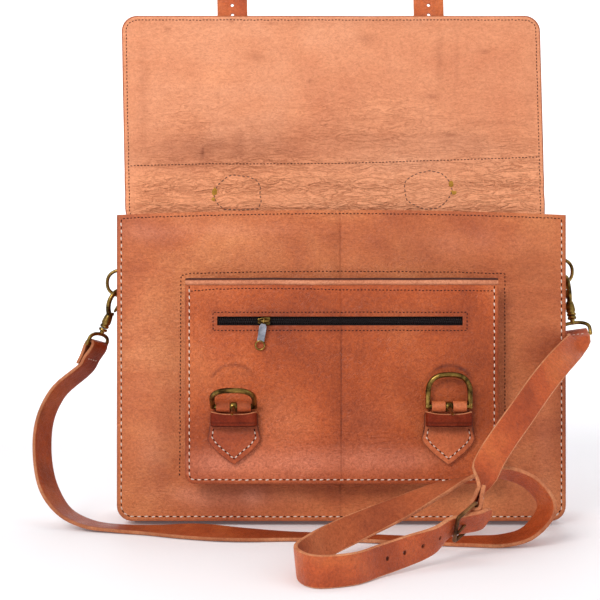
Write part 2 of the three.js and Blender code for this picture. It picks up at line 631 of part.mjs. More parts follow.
// The pull: a ring round the bridge, a plate and an open end, hanging against the pocket.
function zipPull() {
  const loop = (radius) => {
    const points = between(12, 0, 2 * Math.PI).slice(0, -1).map((a) =>
      vector([0, radius * Math.cos(a), radius * Math.sin(a)]));
    const curve = new THREE.CatmullRomCurve3(points, true, "centripetal");
    return new THREE.TubeGeometry(curve, 12, PULL.wire, 5, true);
  };
  const half = PULL.plate / 2;
  const tail = -PULL.plateEnd - PULL.end;
  const outline = new THREE.Shape();
  outline.moveTo(-half * 0.55, -PULL.ring - 0.2);
  outline.lineTo(half * 0.55, -PULL.ring - 0.2);
  outline.lineTo(half, -PULL.ring - 2.5);
  outline.lineTo(half, tail + 3);
  outline.absarc(0, tail, PULL.end, 0.75, Math.PI - 0.75, true);
  outline.lineTo(-half, -PULL.ring - 2.5);
  const eye = new THREE.Path();
  eye.absarc(0, tail, PULL.end - 1.5, 0, 2 * Math.PI, false);
  outline.holes.push(eye);
  const plate = new THREE.ExtrudeGeometry(outline, {
    depth: PULL.plateThick, bevelEnabled: false, curveSegments: 5,
  });
  plate.rotateX(Math.PI / 2).translate(0, PULL.plateThick / 2, 0);
  const geometry = joined(loop(PULL.ring), plate);
  geometry.rotateY(degToRad(PULL.skew)).rotateX(degToRad(PULL.tilt));
  geometry.translate(sliderAt.x, sliderAt.y - SLIDER.bridge, sliderAt.z);
  add("zip_pull", geometry, "steel");
}

// One pocket buckle: the tab with its roll round the bar, the keeper, the frame and the prong.
function pocketBuckle(side) {
  const { x, swing } = BUCKLE_SIDES[side];
  const { z, roll, bore, rollHalf } = BUCKLE;
  const nearest = Math.min(pocketY(x - rollHalf, z), pocketY(x, z), pocketY(x + rollHalf, z));
  const bar = vector([x, nearest - GAP - roll, z]);
  const across = (half, radius) =>
    rod([vector([x - half, bar.y, z]), vector([x + half, bar.y, z])], radius, 1, 14);
  const shieldFace = (proud) => ({ drop, half }, column) =>
    vector([x + column * half, pocketY(x + column * half, z - drop) - proud, z - drop]);
  const shield = wall(SHIELD, [-1, 0, 1], shieldFace(GAP + TAB.thickness), shieldFace(GAP));
  const slot = block([x - TAB.slot, bar.y - 20, z - TAB.slotFoot], [x + TAB.slot, bar.y + 20, z + 20]);
  const tab = cut(joined(shield, across(rollHalf, roll)), across(rollHalf + 9, bore), slot);
  add(`buckle_tab_${side}`, tab, "tab");

  const { half, rise, thickness, top, height } = KEEPER;
  const keeperZ = z - top - height / 2;
  const keeperAt = (sign) => ({ inset, below }) => {
    const keeperX = x + sign * (half - inset);
    const middle = vector([keeperX, pocketY(keeperX, keeperZ) - rise + below, keeperZ]);
    return { middle, across: vector([0, 0, 1]), width: height };
  };
  const leftHalf = KEEPER_BEND.slice(1).reverse().map(keeperAt(-1));
  const stations = [...leftHalf, ...KEEPER_BEND.map(keeperAt(1))];
  add(`keeper_${side}`, ribbon(stations, thickness), "keeper");

  const frame = archedWire({ ...BUCKLE, rise: BUCKLE.half });
  frame.rotateX(degToRad(swing)).translate(...bar.toArray());
  add(`buckle_frame_${side}`, frame, "brass");

  const ringShape = circle(PRONG.ring, 14);
  ringShape.holes.push(new THREE.Path(circle(bore, 14).getPoints()));
  const ring = new THREE.ExtrudeGeometry(ringShape, { depth: 2 * PRONG.width, bevelEnabled: false });
  ring.rotateY(Math.PI / 2).translate(-PRONG.width, 0, 0);
  const pin = rod(
    [vector([0, 0, bore + 0.5]), vector([0, 0, PRONG.length * 0.6]), vector([0, 0.8, PRONG.length])],
    PRONG.wire, 3);
  const prong = joined(ring, pin).rotateX(degToRad(PRONG.angle)).translate(...bar.toArray());
  add(`buckle_prong_${side}`, prong, "brass");
}

// The strap's end folded round a bar: up one side, over the bar, and away on the other side.
function foldRound(bar, across, away, wire) {
  const lift = wire + GAP + STRAP.thickness / 2 + 0.1;
  const out = away.clone().addScaledVector(across, -across.dot(away)).normalize();
  const side = out.clone().cross(across);
  const point = (along, aside) => ({
    middle: bar.clone().addScaledVector(out, along).addScaledVector(side, aside),
    across,
  });
  const bend = [150, 110, 70, 30].map((angle) => {
    const a = degToRad(angle);
    return point(-lift * Math.sin(a), lift * Math.cos(a));
  });
  const apart = STRAP.stitchGap;
  return [
    point(STRAP.tail, -apart), point(STRAP.tail * 0.6, -apart - 0.2), point(2, -lift),
    ...bend, point(2, lift), point(STRAP.tail * 0.6, apart + 0.2), point(STRAP.tail, apart),
  ];
}

// A side's ring tab, ring, hook, gate and swivel eye. Returns where the strap is folded round the eye.
function sideFittings(side) {
  const { sign, z, out, axis, claw, bar } = SIDES[side];
  const webX = BAG.half - GUSSET_SECTION.at(-1).side;
  const over = 2 * RING.wire + 3 * GAP;
  const tabAt = (end) => ({ share, lift }) => {
    const x = webX + GAP + RING_TAB.thickness / 2 + lift * over;
    const middle = vector([sign * x, end * share * RING_TAB.half, z]);
    return { middle, across: vector([0, 0, 1]), width: RING_TAB.width };
  };
  const rearHalf = RING_TAB_BEND.slice(1).reverse().map(tabAt(-1));
  const stations = [...rearHalf, ...RING_TAB_BEND.map(tabAt(1))];
  add(`ring_tab_${side}`, ribbon(stations, RING_TAB.thickness), "strap");

  const barX = webX + 2 * GAP + RING.wire;
  const ringGroup = turned(vector([sign * barX, 0, z]), vector([0, 0, 1]), vector([sign, 0, 0]));
  add(`d_ring_${side}`, archedWire(RING), "brass", ringGroup);

  const drop = RING.half * Math.sqrt(1 - ((out - RING.leg) / RING.rise) ** 2);
  const up = unit(axis);
  const seat = HOOK.crest - HOOK.wire - RING.wire - HOOK.play;
  const foot = vector([sign * (barX + out), 0, z - drop]).addScaledVector(up, -seat);
  const hookGroup = turned(foot, vector(claw), up);
  const barrel = rod([vector([0, 0, 0]), vector([0, 0, HOOK.barrel])], HOOK.barrelRadius, 1, 10);
  const inPlane = ({ x: px, z: pz }) => vector([px, 0, pz]);
  const body = [barrel, rod(CLAW.map(inPlane), HOOK.wire, 13), rod(SHOULDER.map(inPlane), HOOK.wire)];
  add(`hook_${side}`, joined(...body), "brass", hookGroup);

  const gate = rod([vector([0, 0, GATE.foot]), vector([GATE.lean, 0, GATE.length])], GATE.wire);
  add(`hook_gate_${side}`, gate.translate(GATE.x, 0, GATE.z), "brass", hookGroup);

  const eyeGroup = turned(foot, vector(bar), up);
  const barDrop = EYE.neck + EYE.leg + EYE.rise;
  const loop = archedWire(EYE, 11).translate(0, 0, -barDrop);
  const neck = rod([vector([0, 0, -EYE.neck - 1]), vector([0, 0, -GAP])], EYE.neckRadius);
  const collar = rod([vector([0, 0, -GAP - EYE.collarHeight]), vector([0, 0, -GAP])], EYE.collar, 1, 10);
  add(`swivel_eye_${side}`, joined(loop, neck, collar), "brass", eyeGroup);

  eyeGroup.updateMatrixWorld(true);
  const across = vector([1, 0, 0]).transformDirection(eyeGroup.matrixWorld);
  return { bar: foot.clone().addScaledVector(up, -barDrop), across };
}

const routed = (route) => route.map(({ at, across }) => ({ middle: vector(at), across: unit(across) }));

// The two halves of the shoulder strap and the buckle that joins them.
function shoulderStrap(eyes) {
  const across = unit(CLASP.across);
  const along = unit(CLASP.along).addScaledVector(across, -across.dot(unit(CLASP.along))).normalize();
  const face = along.clone().cross(across);
  const far = vector(CLASP.bar);
  const heel = far.clone().addScaledVector(along, CLASP_SIZE.length);
  const onClasp = (alongShare, proud) =>
    far.clone().addScaledVector(along, alongShare * CLASP_SIZE.length).addScaledVector(face, proud);

  const longAway = routed(LONG_ROUTE)[0].middle.sub(eyes.left.bar).normalize();
  const tongue = [
    { middle: onClasp(0, -TONGUE.under), across },
    { middle: onClasp(0.5, (TONGUE.over - TONGUE.under) / 2), across },
    { middle: onClasp(1, TONGUE.over), across },
    { middle: onClasp(1 + CLASP_SIZE.tip / CLASP_SIZE.length, TONGUE.over + 0.4), across },
  ];
  const longStart = foldRound(eyes.left.bar, eyes.left.across, longAway, EYE.wire);
  const longPoints = [...longStart, ...routed(LONG_ROUTE).slice(1), ...tongue];
  const longStations = eased(longPoints, 2, STRAP.width);
  longStations.at(-1).width = STRAP.width * 0.55;
  const pinLine = [onClasp(1.05, -0.1), onClasp(-0.12, CLASP_SIZE.wire + CLASP_SIZE.prong + GAP)];
  const holes = HOLE_STEPS.map((step) => {
    const run = longStations.slice(0, -6);
    let left = step;
    let i = run.length - 1;
    while (left > run[i].middle.distanceTo(run[i - 1].middle)) {
      left -= run[i].middle.distanceTo(run[i - 1].middle);
      i -= 1;
    }
    const forward = run[i].middle.clone().sub(run[i - 1].middle).normalize();
    const middle = run[i].middle.clone().addScaledVector(forward, -left);
    const through = forward.cross(run[i].across).normalize().multiplyScalar(STRAP.thickness * 2);
    return rod([middle.clone().sub(through), middle.clone().add(through)], STRAP.hole / 2, 1, 7);
  });
  const pinHole = rod(pinLine, CLASP_SIZE.prong + 0.5, 1);
  add("strap_long", cut(ribbon(longStations, STRAP.thickness), ...holes, pinHole), "strap");

  const shortPoints = routed(SHORT_ROUTE);
  const shortAway = shortPoints[0].middle.clone().sub(eyes.right.bar).normalize();
  const heelAway = shortPoints.at(-1).middle.clone().sub(heel);
  const heelFold = foldRound(heel, across.clone().negate(), heelAway, CLASP_SIZE.wire).reverse();
  const shortStart = foldRound(eyes.right.bar, eyes.right.across, shortAway, EYE.wire);
  const shortStations = eased([...shortStart, ...shortPoints.slice(1), ...heelFold], 2, STRAP.width);
  const slotGroup = new THREE.Matrix4().makeBasis(across, along, face.clone().negate()).setPosition(heel);
  const slot = block([-CLASP_SIZE.slot, -12, -12], [CLASP_SIZE.slot, 6, 12]).applyMatrix4(slotGroup);
  add("strap_short", cut(ribbon(shortStations, STRAP.thickness), slot), "strap");

  const clasp = turned(onClasp(0.5, 0), along, across);
  const { half, length, corner, wire, prong } = CLASP_SIZE;
  const outline = new THREE.Path();
  outline.moveTo(-length / 2, -half + corner);
  outline.absarc(length / 2 - corner, -half + corner, corner, -Math.PI / 2, 0, false);
  outline.absarc(length / 2 - corner, half - corner, corner, 0, Math.PI / 2, false);
  outline.absarc(-length / 2 + corner, half - corner, corner, Math.PI / 2, Math.PI, false);
  outline.absarc(-length / 2 + corner, -half + corner, corner, Math.PI, 1.5 * Math.PI, false);
  const points = outline.getSpacedPoints(40).slice(0, -1).map(({ x, y }) => vector([x, 0, y]));
  const bent = new THREE.CatmullRomCurve3(points, true, "centripetal");
  const loop = new THREE.TubeGeometry(bent, 34, wire, 5, true);
  add("strap_buckle", loop, "brass", clasp);

  const ringShape = circle(wire + GAP + 1.3, 12);
  ringShape.holes.push(new THREE.Path(circle(wire + GAP, 12).getPoints()));
  const ring = new THREE.ExtrudeGeometry(ringShape, { depth: 4, bevelEnabled: false });
  const seat = new THREE.Matrix4().makeBasis(along, face, across).setPosition(heel);
  ring.translate(0, 0, -2).applyMatrix4(seat);
  const pinStart = pinLine[0].clone().lerp(pinLine[1], (wire + GAP + 0.8) / CLASP_SIZE.length + 0.04);
  add("strap_prong", joined(ring, rod([pinStart, pinLine[1]], prong, 1)), "brass");
}

frontPanel();
gusset();
backAndFlap();
flapLining();
flapStrap("left");
flapStrap("right");
handle();
pocketFront();
pocketGusset();
zipTape();
zipSlider();
zipPull();
pocketBuckle("left");
pocketBuckle("right");
const eyes = { left: sideFittings("left"), right: sideFittings("right") };
shoulderStrap(eyes);

export default bag;
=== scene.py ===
# %% Load the frame
import math

import bpy
import numpy as np
from mathutils import Matrix, Vector


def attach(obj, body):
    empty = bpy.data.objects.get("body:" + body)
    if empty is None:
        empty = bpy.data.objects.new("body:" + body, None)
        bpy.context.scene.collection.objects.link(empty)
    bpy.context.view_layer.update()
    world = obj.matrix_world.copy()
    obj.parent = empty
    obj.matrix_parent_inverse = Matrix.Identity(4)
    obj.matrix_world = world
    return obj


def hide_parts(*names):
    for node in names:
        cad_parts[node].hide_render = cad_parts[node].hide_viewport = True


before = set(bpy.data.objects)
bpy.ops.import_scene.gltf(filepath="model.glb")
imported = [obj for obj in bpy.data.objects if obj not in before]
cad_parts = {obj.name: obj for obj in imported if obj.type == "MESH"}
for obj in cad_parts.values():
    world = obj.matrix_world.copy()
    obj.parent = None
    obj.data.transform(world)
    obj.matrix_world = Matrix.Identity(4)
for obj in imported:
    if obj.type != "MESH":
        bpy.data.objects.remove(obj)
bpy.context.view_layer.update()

# %% [markdown]
# A tan leather satchel stands on a pale table with its flap thrown open behind it.
# It was photographed from straight in front with a longish lens, at about the height of its zip.
# The camera repeats that, so the picture can be laid over the photograph while the pieces are made.

# %% Camera at the photograph's place
CAMERA_PLACE = (-0.035, -1.04, 0.191)
CAMERA_LENS = 70.9


def place_camera():
    bpy.ops.object.camera_add(location=CAMERA_PLACE, rotation=(math.pi / 2, 0, 0))
    camera = bpy.context.object
    camera.data.lens = CAMERA_LENS
    camera.data.sensor_width = 36
    bpy.context.scene.camera = camera
    return camera


camera = place_camera()
print("camera", [round(c, 3) for c in camera.location], "lens", camera.data.lens)

# %% [markdown]
# The satchel was lit by a large soft light from the upper left and stands on something white.
# A floor with its far edge turned up gives a background without a horizon.
# Three big soft lights and a bright sky leave only faint shadows on it, as in the photograph.

# %% Floor and lights
LIT_PLACE = (0, 0, 0.2)
SKY_STRENGTH = 0.6


def active(obj):
    if bpy.context.mode != "OBJECT":
        bpy.ops.object.mode_set(mode="OBJECT")
    bpy.ops.object.select_all(action="DESELECT")
    obj.select_set(True)
    bpy.context.view_layer.objects.active = obj
    return obj


def apply_all(obj):
    active(obj)
    for modifier in list(obj.modifiers):
        bpy.ops.object.modifier_apply(modifier=modifier.name)
    return obj


def make_floor():
    bpy.ops.object.select_all(action="DESELECT")
    bpy.ops.mesh.primitive_plane_add(size=8)
    floor = bpy.context.object
    floor.name = "floor"
    bpy.ops.object.mode_set(mode="EDIT")
    bpy.ops.mesh.select_mode(type="EDGE")
    bpy.ops.mesh.select_all(action="DESELECT")
    bpy.ops.object.mode_set(mode="OBJECT")
    for edge in floor.data.edges:
        edge.select = all(floor.data.vertices[i].co.y > 3.9 for i in edge.vertices)
    bpy.ops.object.mode_set(mode="EDIT")
    bpy.ops.mesh.extrude_region_move(TRANSFORM_OT_translate={"value": (0, 0, 4)})
    bpy.ops.mesh.select_all(action="SELECT")
    bpy.ops.transform.resize(value=(3, 1, 1))
    bpy.ops.object.mode_set(mode="OBJECT")
    bend = floor.modifiers.new("bend", "BEVEL")
    bend.width = 1.4
    bend.segments = 16
    apply_all(floor)
    bpy.ops.object.shade_smooth()
    return floor


def soft_light(name, place, size, power, colour=(1, 1, 1)):
    bpy.ops.object.light_add(type="AREA", location=place)
    light = bpy.context.object
    light.name = name
    light.data.shape = "DISK"
    light.data.size = size
    light.data.energy = power
    light.data.color = colour
    light.rotation_euler = (Vector(LIT_PLACE) - Vector(place)).to_track_quat("-Z", "Y").to_euler()
    return light


floor = make_floor()
soft_light("key", (-0.8, -1.55, 1.15), 0.8, 20.5, (1, 0.98, 0.95))
soft_light("fill", (1.5, -1.2, 0.9), 1.4, 5, (0.96, 0.98, 1))
soft_light("top", (0.2, 0.7, 1.7), 1.2, 5)
world = bpy.data.worlds.new("sky")
bpy.context.scene.world = world
world.use_nodes = True
world.node_tree.nodes["Background"].inputs["Color"].default_value = (1, 1, 1, 1)
world.node_tree.nodes["Background"].inputs["Strength"].default_value = SKY_STRENGTH
bpy.context.scene.view_settings.view_transform = "Standard"
print("floor and three soft lights")

# %% [markdown]
# Every finish is a small net of nodes in front of one shader. By hand, nodes are added and links are drawn
# in the node editor, and these helpers do the same. All patterns follow the places on the piece itself.

# %% Helpers for materials
WHITE = (1, 1, 1, 1)


def fill(tree, made, inputs):
    """Links a node's inputs to other nodes, or sets them to values."""
    for key, value in inputs.items():
        if isinstance(value, bpy.types.NodeSocket):
            tree.links.new(value, made.inputs[key])
        else:
            made.inputs[key].default_value = value
    return made


def node(tree, kind, inputs=None, **settings):
    made = tree.nodes.new(kind)
    for key, value in settings.items():
        setattr(made, key, value)
    return fill(tree, made, inputs or {})


def srgb(*channels):
    return tuple(((c / 255 + 0.055) / 1.055) ** 2.4 if c > 10 else c / 3294.6 for c in channels) + (1,)


def shade(colour, strength, lift=0.0):
    """A colour made darker or paler."""
    return tuple(strength * c + lift for c in colour[:3]) + (1,)


def grey(value):
    return (value,) * 3 + (1,)


def blank(name):
    """A new material, its nodes, its shader, and the places on a piece that its patterns follow."""
    material = bpy.data.materials.new(name)
    material.use_nodes = True
    tree = material.node_tree
    places = node(tree, "ShaderNodeTexCoord").outputs["Object"]
    return material, tree, tree.nodes["Principled BSDF"], places


def mixed(tree, kind, factor, a, b):
    mix = node(tree, "ShaderNodeMix", {0: factor, 6: a, 7: b}, data_type="RGBA", blend_type=kind)
    return mix.outputs[2]


def reckoned(tree, operation, *values, clamp=False):
    sum_node = node(tree, "ShaderNodeMath", dict(enumerate(values)), operation=operation, use_clamp=clamp)
    return sum_node.outputs[0]


def noise(tree, where, scale, detail=4, rough=0.55, distortion=0.0):
    return node(tree, "ShaderNodeTexNoise", {
        "Vector": where, "Scale": scale, "Detail": detail, "Roughness": rough, "Distortion": distortion,
    }).outputs["Fac"]


def ramp(tree, value, *stops):
    made = node(tree, "ShaderNodeValToRGB", {"Fac": value})
    while len(made.color_ramp.elements) < len(stops):
        made.color_ramp.elements.new(0.5)
    for element, (place, colour) in zip(made.color_ramp.elements, stops):
        element.position = place
        element.color = colour
    return made.outputs["Color"]


def moved(tree, where, scale, location):
    made = node(tree, "ShaderNodeMapping", {"Vector": where, "Scale": scale, "Location": location})
    return made.outputs["Vector"]


def bumped(tree, strength, distance, height, under=None):
    """A height pressed into the surface, over an earlier one where that is given."""
    inputs = {"Strength": strength, "Distance": distance, "Height": height}
    if under is not None:
        inputs["Normal"] = under
    return node(tree, "ShaderNodeBump", inputs).outputs["Normal"]


def lines_of(tree, value):
    """Nought along the level lines of a noise and rising on both sides of them, for thin creases."""
    ridged = reckoned(tree, "ABSOLUTE", reckoned(tree, "SUBTRACT", value, 0.5))
    return reckoned(tree, "MULTIPLY", ridged, 4.0, clamp=True)


# %% [markdown]
# Vegetable-tanned leather takes its dye unevenly, so its colour drifts over a hand's breadth and is
# mottled within a few millimetres. The grain is a net of fine pores with shallow wrinkles between them.
# One function mixes noise at those sizes. Painted values darken places, for stains and painted shade, make
# them paler, for painted sheen and pale patches, or wrinkle them.

# %% Leather
def leather(name, dark, middle, pale, rough=0.5, stretch=(1, 1, 1), pores=0.25, creases=0.35, stain_and_shade=None,
            sheen_and_pale_colour=None, drift=13, seed=0.0, grain=0.75, shine=0.3):
    material, tree, shader, places = blank(name)
    dark, middle, pale = srgb(*dark), srgb(*middle), srgb(*pale)
    stain_and_shade = srgb(*stain_and_shade) if stain_and_shade else shade(dark, 0.33)
    sheen_and_pale_colour = srgb(*sheen_and_pale_colour) if sheen_and_pale_colour else shade(pale, 1.2)
    where = moved(tree, places, stretch, (seed, seed * 0.7, -seed))
    drawn = moved(tree, places, (0.4, 0.6, 1.5), (seed, 0, seed))
    # The dark mix stands for stains and painted shade, the pale mix for painted sheen and highlights and for
    # pale patches.
    darkened, sheen_and_pale_share, wrinkled = (node(tree, "ShaderNodeAttribute", attribute_name=layer).outputs["Fac"]
                                    for layer in ("dark", "pale", "wrinkle"))
    drifted = ramp(tree, noise(tree, where, drift, 4, 0.5, 0.4), (0.3, dark), (0.5, middle), (0.72, pale))
    colour = mixed(tree, "MIX", sheen_and_pale_share, drifted, sheen_and_pale_colour)
    mottle = ramp(tree, noise(tree, where, 420, 4, 0.7, 0.6),
                  (0.36, (0.76, 0.7, 0.66, 1)), (0.5, WHITE), (0.66, (1.16, 1.18, 1.2, 1)))
    colour = mixed(tree, "MULTIPLY", grain, colour, mottle)
    folds = lines_of(tree, noise(tree, where, 230, 4, 0.6, 1.0))
    veins = ramp(tree, folds, (0, (0.8, 0.73, 0.68, 1)), (0.16, WHITE), (0.5, grey(1.05)))
    colour = mixed(tree, "MULTIPLY", grain, colour, veins)
    # Wrinkles are furrows painted darker, for the shade in them, over a matching bump, and a little paler
    # between the furrows.
    furrows = lines_of(tree, noise(tree, drawn, 150, 3, 0.5, 0.8))
    lines = ramp(tree, furrows,
                 (0, (0.7, 0.58, 0.5, 1)), (0.15, (0.99, 0.98, 0.97, 1)), (0.45, grey(1.12)))
    colour = mixed(tree, "MULTIPLY", wrinkled, colour, lines)
    colour = mixed(tree, "MIX", darkened, colour, stain_and_shade)
    sheen = ramp(tree, noise(tree, where, 60, 3), (0.3, grey(rough - 0.1)), (0.7, grey(rough + 0.12)))
    cells = node(tree, "ShaderNodeTexVoronoi", {"Vector": where, "Scale": 820, "Randomness": 1})
    pored = bumped(tree, pores, 0.00035, cells.outputs["Distance"])
    folded = bumped(tree, creases, 0.0016, folds, pored)
    creased = bumped(tree, 0.7, 0.0024, reckoned(tree, "MULTIPLY", furrows, wrinkled), folded)
    fill(tree, shader, {
        "Base Color": colour, "Roughness": sheen, "Specular IOR Level": shine, "Normal": creased,
    })
    return material


# %% [markdown]
# Waxed thread is twisted, so fine slanting waves run over it. Old brass is bright where it has been rubbed,
# and dark and duller between. The zip's tape is woven, and the floor is a chalky white.

# %% Thread, metal, cloth and floor
def thread(name, colour, rough=0.7):
    material, tree, shader, where = blank(name)
    colour = srgb(*colour)
    twist = node(tree, "ShaderNodeTexWave", {"Vector": where, "Scale": 420, "Distortion": 1.5},
                 bands_direction="DIAGONAL")
    fill(tree, shader, {
        "Base Color": ramp(tree, noise(tree, where, 300, 3), (0.3, shade(colour, 0.72)), (0.6, colour)),
        "Roughness": rough, "Specular IOR Level": 0.2,
        "Normal": bumped(tree, 0.4, 0.0003, twist.outputs["Fac"]),
    })
    return material


def metal(name, tarnish, bright, rough, patches=70):
    material, tree, shader, where = blank(name)
    cloudy = noise(tree, where, patches, 5, 0.6, 0.4)
    fill(tree, shader, {
        "Base Color": ramp(tree, cloudy, (0.36, srgb(*tarnish)), (0.62, srgb(*bright))),
        "Roughness": ramp(tree, cloudy, (0.3, grey(rough + 0.2)), (0.65, grey(rough))),
        "Metallic": 1,
        "Normal": bumped(tree, 0.12, 0.0003, noise(tree, where, 500, 3)),
    })
    return material


def cloth(name, colour):
    material, tree, shader, where = blank(name)
    colour = srgb(*colour)
    weave = node(tree, "ShaderNodeTexWave", {"Vector": where, "Scale": 330, "Distortion": 0.4},
                 bands_direction="X").outputs["Fac"]
    fill(tree, shader, {
        "Base Color": ramp(tree, weave, (0.2, colour), (0.9, shade(colour, 2.4, 0.004))),
        "Roughness": 0.75, "Specular IOR Level": 0.15,
        "Normal": bumped(tree, 0.5, 0.0004, weave),
    })
    return material


def chalky(name, colour):
    """White that glows a little more towards the far edge of the floor."""
    material, tree, shader, where = blank(name)
    colour = srgb(*colour)
    far = node(tree, "ShaderNodeSeparateXYZ", {"Vector": where}).outputs["Y"]
    reach = node(tree, "ShaderNodeMapRange", {"Value": far, "From Min": 0.5, "From Max": 2.6})
    fill(tree, shader, {
        "Base Color": ramp(tree, noise(tree, where, 3, 2), (0.3, shade(colour, 0.985)), (0.7, colour)),
        "Roughness": 0.65,
        "Emission Color": ramp(tree, reach.outputs["Result"], (0, (0.1, 0.1, 0.11, 1)), (1, WHITE)),
        "Emission Strength": 0.58,
    })
    return material


# %% [markdown]
# Each leather has a dark, a middle and a pale tone, chosen beside the photograph. A stain-and-shade colour
# fills its painted dark places and a sheen-and-pale colour its painted pale ones. Threads and metals need one
# or two tones.

# %% The finishes of the bag
LOOKS = {
    "panel": leather("panel_leather", (164, 80, 44), (190, 104, 60), (208, 128, 80), 0.46,
                     stretch=(1, 1, 1.3), stain_and_shade=(110, 46, 24), sheen_and_pale_colour=(232, 156, 128)),
    "outside": leather("flap_outside", (160, 78, 42), (188, 102, 58), (204, 124, 78), 0.46,
                       stretch=(1, 1, 1.3), stain_and_shade=(110, 46, 24), seed=3.1),
    "pocket": leather("pocket_leather", (150, 64, 26), (180, 84, 38), (200, 108, 60), 0.38,
                      stain_and_shade=(92, 32, 14), sheen_and_pale_colour=(234, 152, 124), seed=1.7, grain=0.9, shine=0.26),
    "hem": leather("hem_leather", (186, 108, 72), (204, 130, 94), (218, 148, 112), 0.45, seed=2.2),
    "lining": leather("lining_leather", (206, 126, 88), (220, 144, 104), (230, 160, 122), 0.58,
                      stretch=(0.8, 1, 1.2), pores=0.2, stain_and_shade=(128, 60, 36), sheen_and_pale_colour=(248, 168, 122),
                      drift=9, seed=5.3, grain=0.5),
    "strap": leather("strap_leather", (152, 62, 26), (182, 81, 37), (202, 105, 53), 0.42,
                     stain_and_shade=(92, 36, 18), drift=18, seed=7.9),
    "flesh": leather("flesh_side", (146, 66, 34), (176, 88, 48), (194, 108, 66), 0.7, pores=0.5, seed=4.4),
    "raw": leather("raw_edge", (176, 100, 64), (200, 126, 84), (216, 148, 106), 0.65,
                   pores=0.5, stain_and_shade=(120, 58, 30), drift=40, seed=9.2),
    "dark_edge": leather("dyed_edge", (108, 46, 24), (138, 64, 34), (164, 84, 50), 0.6, drift=40, seed=6.6),
    "keeper": leather("keeper_leather", (88, 24, 8), (118, 38, 15), (140, 56, 28), 0.5, seed=8.3, shine=0.12),
    "tab": leather("tab_leather", (156, 68, 34), (188, 92, 49), (206, 114, 70), 0.44,
                   stain_and_shade=(84, 30, 14), seed=2.9),
    "cream": thread("cream_thread", (224, 204, 190)),
    "brown": thread("dark_thread", (62, 22, 20)),
    # dark pits painted on for the shade inside the awl holes
    "hole": thread("stitch_hole", (64, 24, 14), 0.9),
    "grey": thread("grey_thread", (128, 92, 78)),
    "brass": metal("antique_brass", (50, 36, 17), (156, 126, 64), 0.24, 110),
    "bronze": metal("bronze_wire", (72, 46, 28), (140, 98, 62), 0.34),
    "steel": metal("zip_metal", (104, 108, 118), (176, 180, 190), 0.24),
    "zip": cloth("zip_cloth", (20, 13, 15)),
    "coil": thread("zip_coil", (30, 22, 23), 0.4),
    "glue": thread("old_glue", (190, 140, 50), 0.35),
    "floor": chalky("floor_white", (248, 247, 250)),
}
floor.data.materials.append(LOOKS["floor"])
print(len(LOOKS), "materials")

# %% [markdown]
# The satchel's leather panels are cut flat and bulge a little once they are sewn: the front and the back
# belly outwards, a fold runs down the middle of the front, and the flap ripples above its bend.
# The same measured surfaces carry the panels, the seams and everything sewn on, so they are written once.

# %% Sizes and soft shapes, in millimetres
BAG = {"half": 190, "height": 263, "crown": 4, "depth": 80, "belly": 7, "lift": 4, "corner": 13}
FLAP = {"bend": 262, "top": 451, "edge": 449, "corner": 14, "lean": 4.2, "back": 3.5}
POCKET = {"x": -0.5, "half": 129.5, "bottom": 39, "top": 208, "front": -63, "belly": 3, "corner": 8}
ZIP = {"left": -103.5, "right": 99.5, "bottom": 170, "top": 177.4}
BUCKLE_X = {"left": -89.4, "right": 87.3}
BUCKLE_Z = 103.5
CREASE_X = -1
print("body", 2 * BAG["half"], "wide,", BAG["height"] + BAG["crown"], "high, flap to", FLAP["top"])


def smooth(value, low, high):
    t = np.clip((value - low) / (high - low), 0, 1)
    return t * t * (3 - 2 * t)


def hump(value, middle, reach):
    """One at a place, falling softly to nought on both sides of it."""
    return np.exp(-(((value - middle) / reach) ** 2))


def hashed(i, j, seed):
    value = np.sin(i * 127.1 + j * 311.7 + seed * 74.7) * 43758.5453
    return value - np.floor(value)


def cloud(x, z, size, seed):
    """Smooth random values from -1 to 1 that change over about the given size."""
    x, z = np.asarray(x, float) / size, np.asarray(z, float) / size
    i, j = np.floor(x), np.floor(z)
    a, b = smooth(x - i, 0, 1), smooth(z - j, 0, 1)
    low = hashed(i, j, seed) * (1 - a) + hashed(i + 1, j, seed) * a
    high = hashed(i, j + 1, seed) * (1 - a) + hashed(i + 1, j + 1, seed) * a
    return 2 * (low * (1 - b) + high * b) - 1


# %% [markdown]
# Each surface is a depth for a place across and up the bag: a plain bulge, then the crease, the ripples and
# a few tenths of a millimetre of dents, which fade out towards the sewn edges.

# %% The measured surfaces
def belly(x, z):
    return (1 - (x / BAG["half"]) ** 2) * np.sin(np.pi * (z + 5) / 330)


def crease(x, rise):
    """A broad dent with a sharp line in it, which starts above the foot."""
    return (1.3 * hump(x, CREASE_X, 6) + 0.5 * hump(x, CREASE_X, 0.9)) * smooth(rise, 22, 44)


def with_crease(columns, half):
    """Columns from -1 to 1 with more of them across the crease."""
    across = np.array([-2.4, -1.5, -0.8, -0.4, 0, 0.4, 0.8, 1.5, 2.4])
    return np.unique(np.concatenate([columns, (across + CREASE_X) / half]))


def plain_front(x, z):
    return -BAG["depth"] / 2 - BAG["belly"] * belly(x, z)


def front_y(x, z):
    dents = 0.35 * cloud(x, z, 55, 1) + 0.16 * cloud(x, z, 17, 2) * smooth(z, 10, 40)
    inside = smooth(BAG["half"] - np.abs(x), 0, 25) * smooth(z, 5, 30)
    return plain_front(x, z) + crease(x, z) + dents * inside


def plain_pocket(x, z):
    rise = (z - POCKET["bottom"]) / (POCKET["top"] - POCKET["bottom"])
    swell = (1 - ((x - POCKET["x"]) / POCKET["half"]) ** 2) * np.sin(np.pi * rise / 1.15)
    return POCKET["front"] - POCKET["belly"] * swell


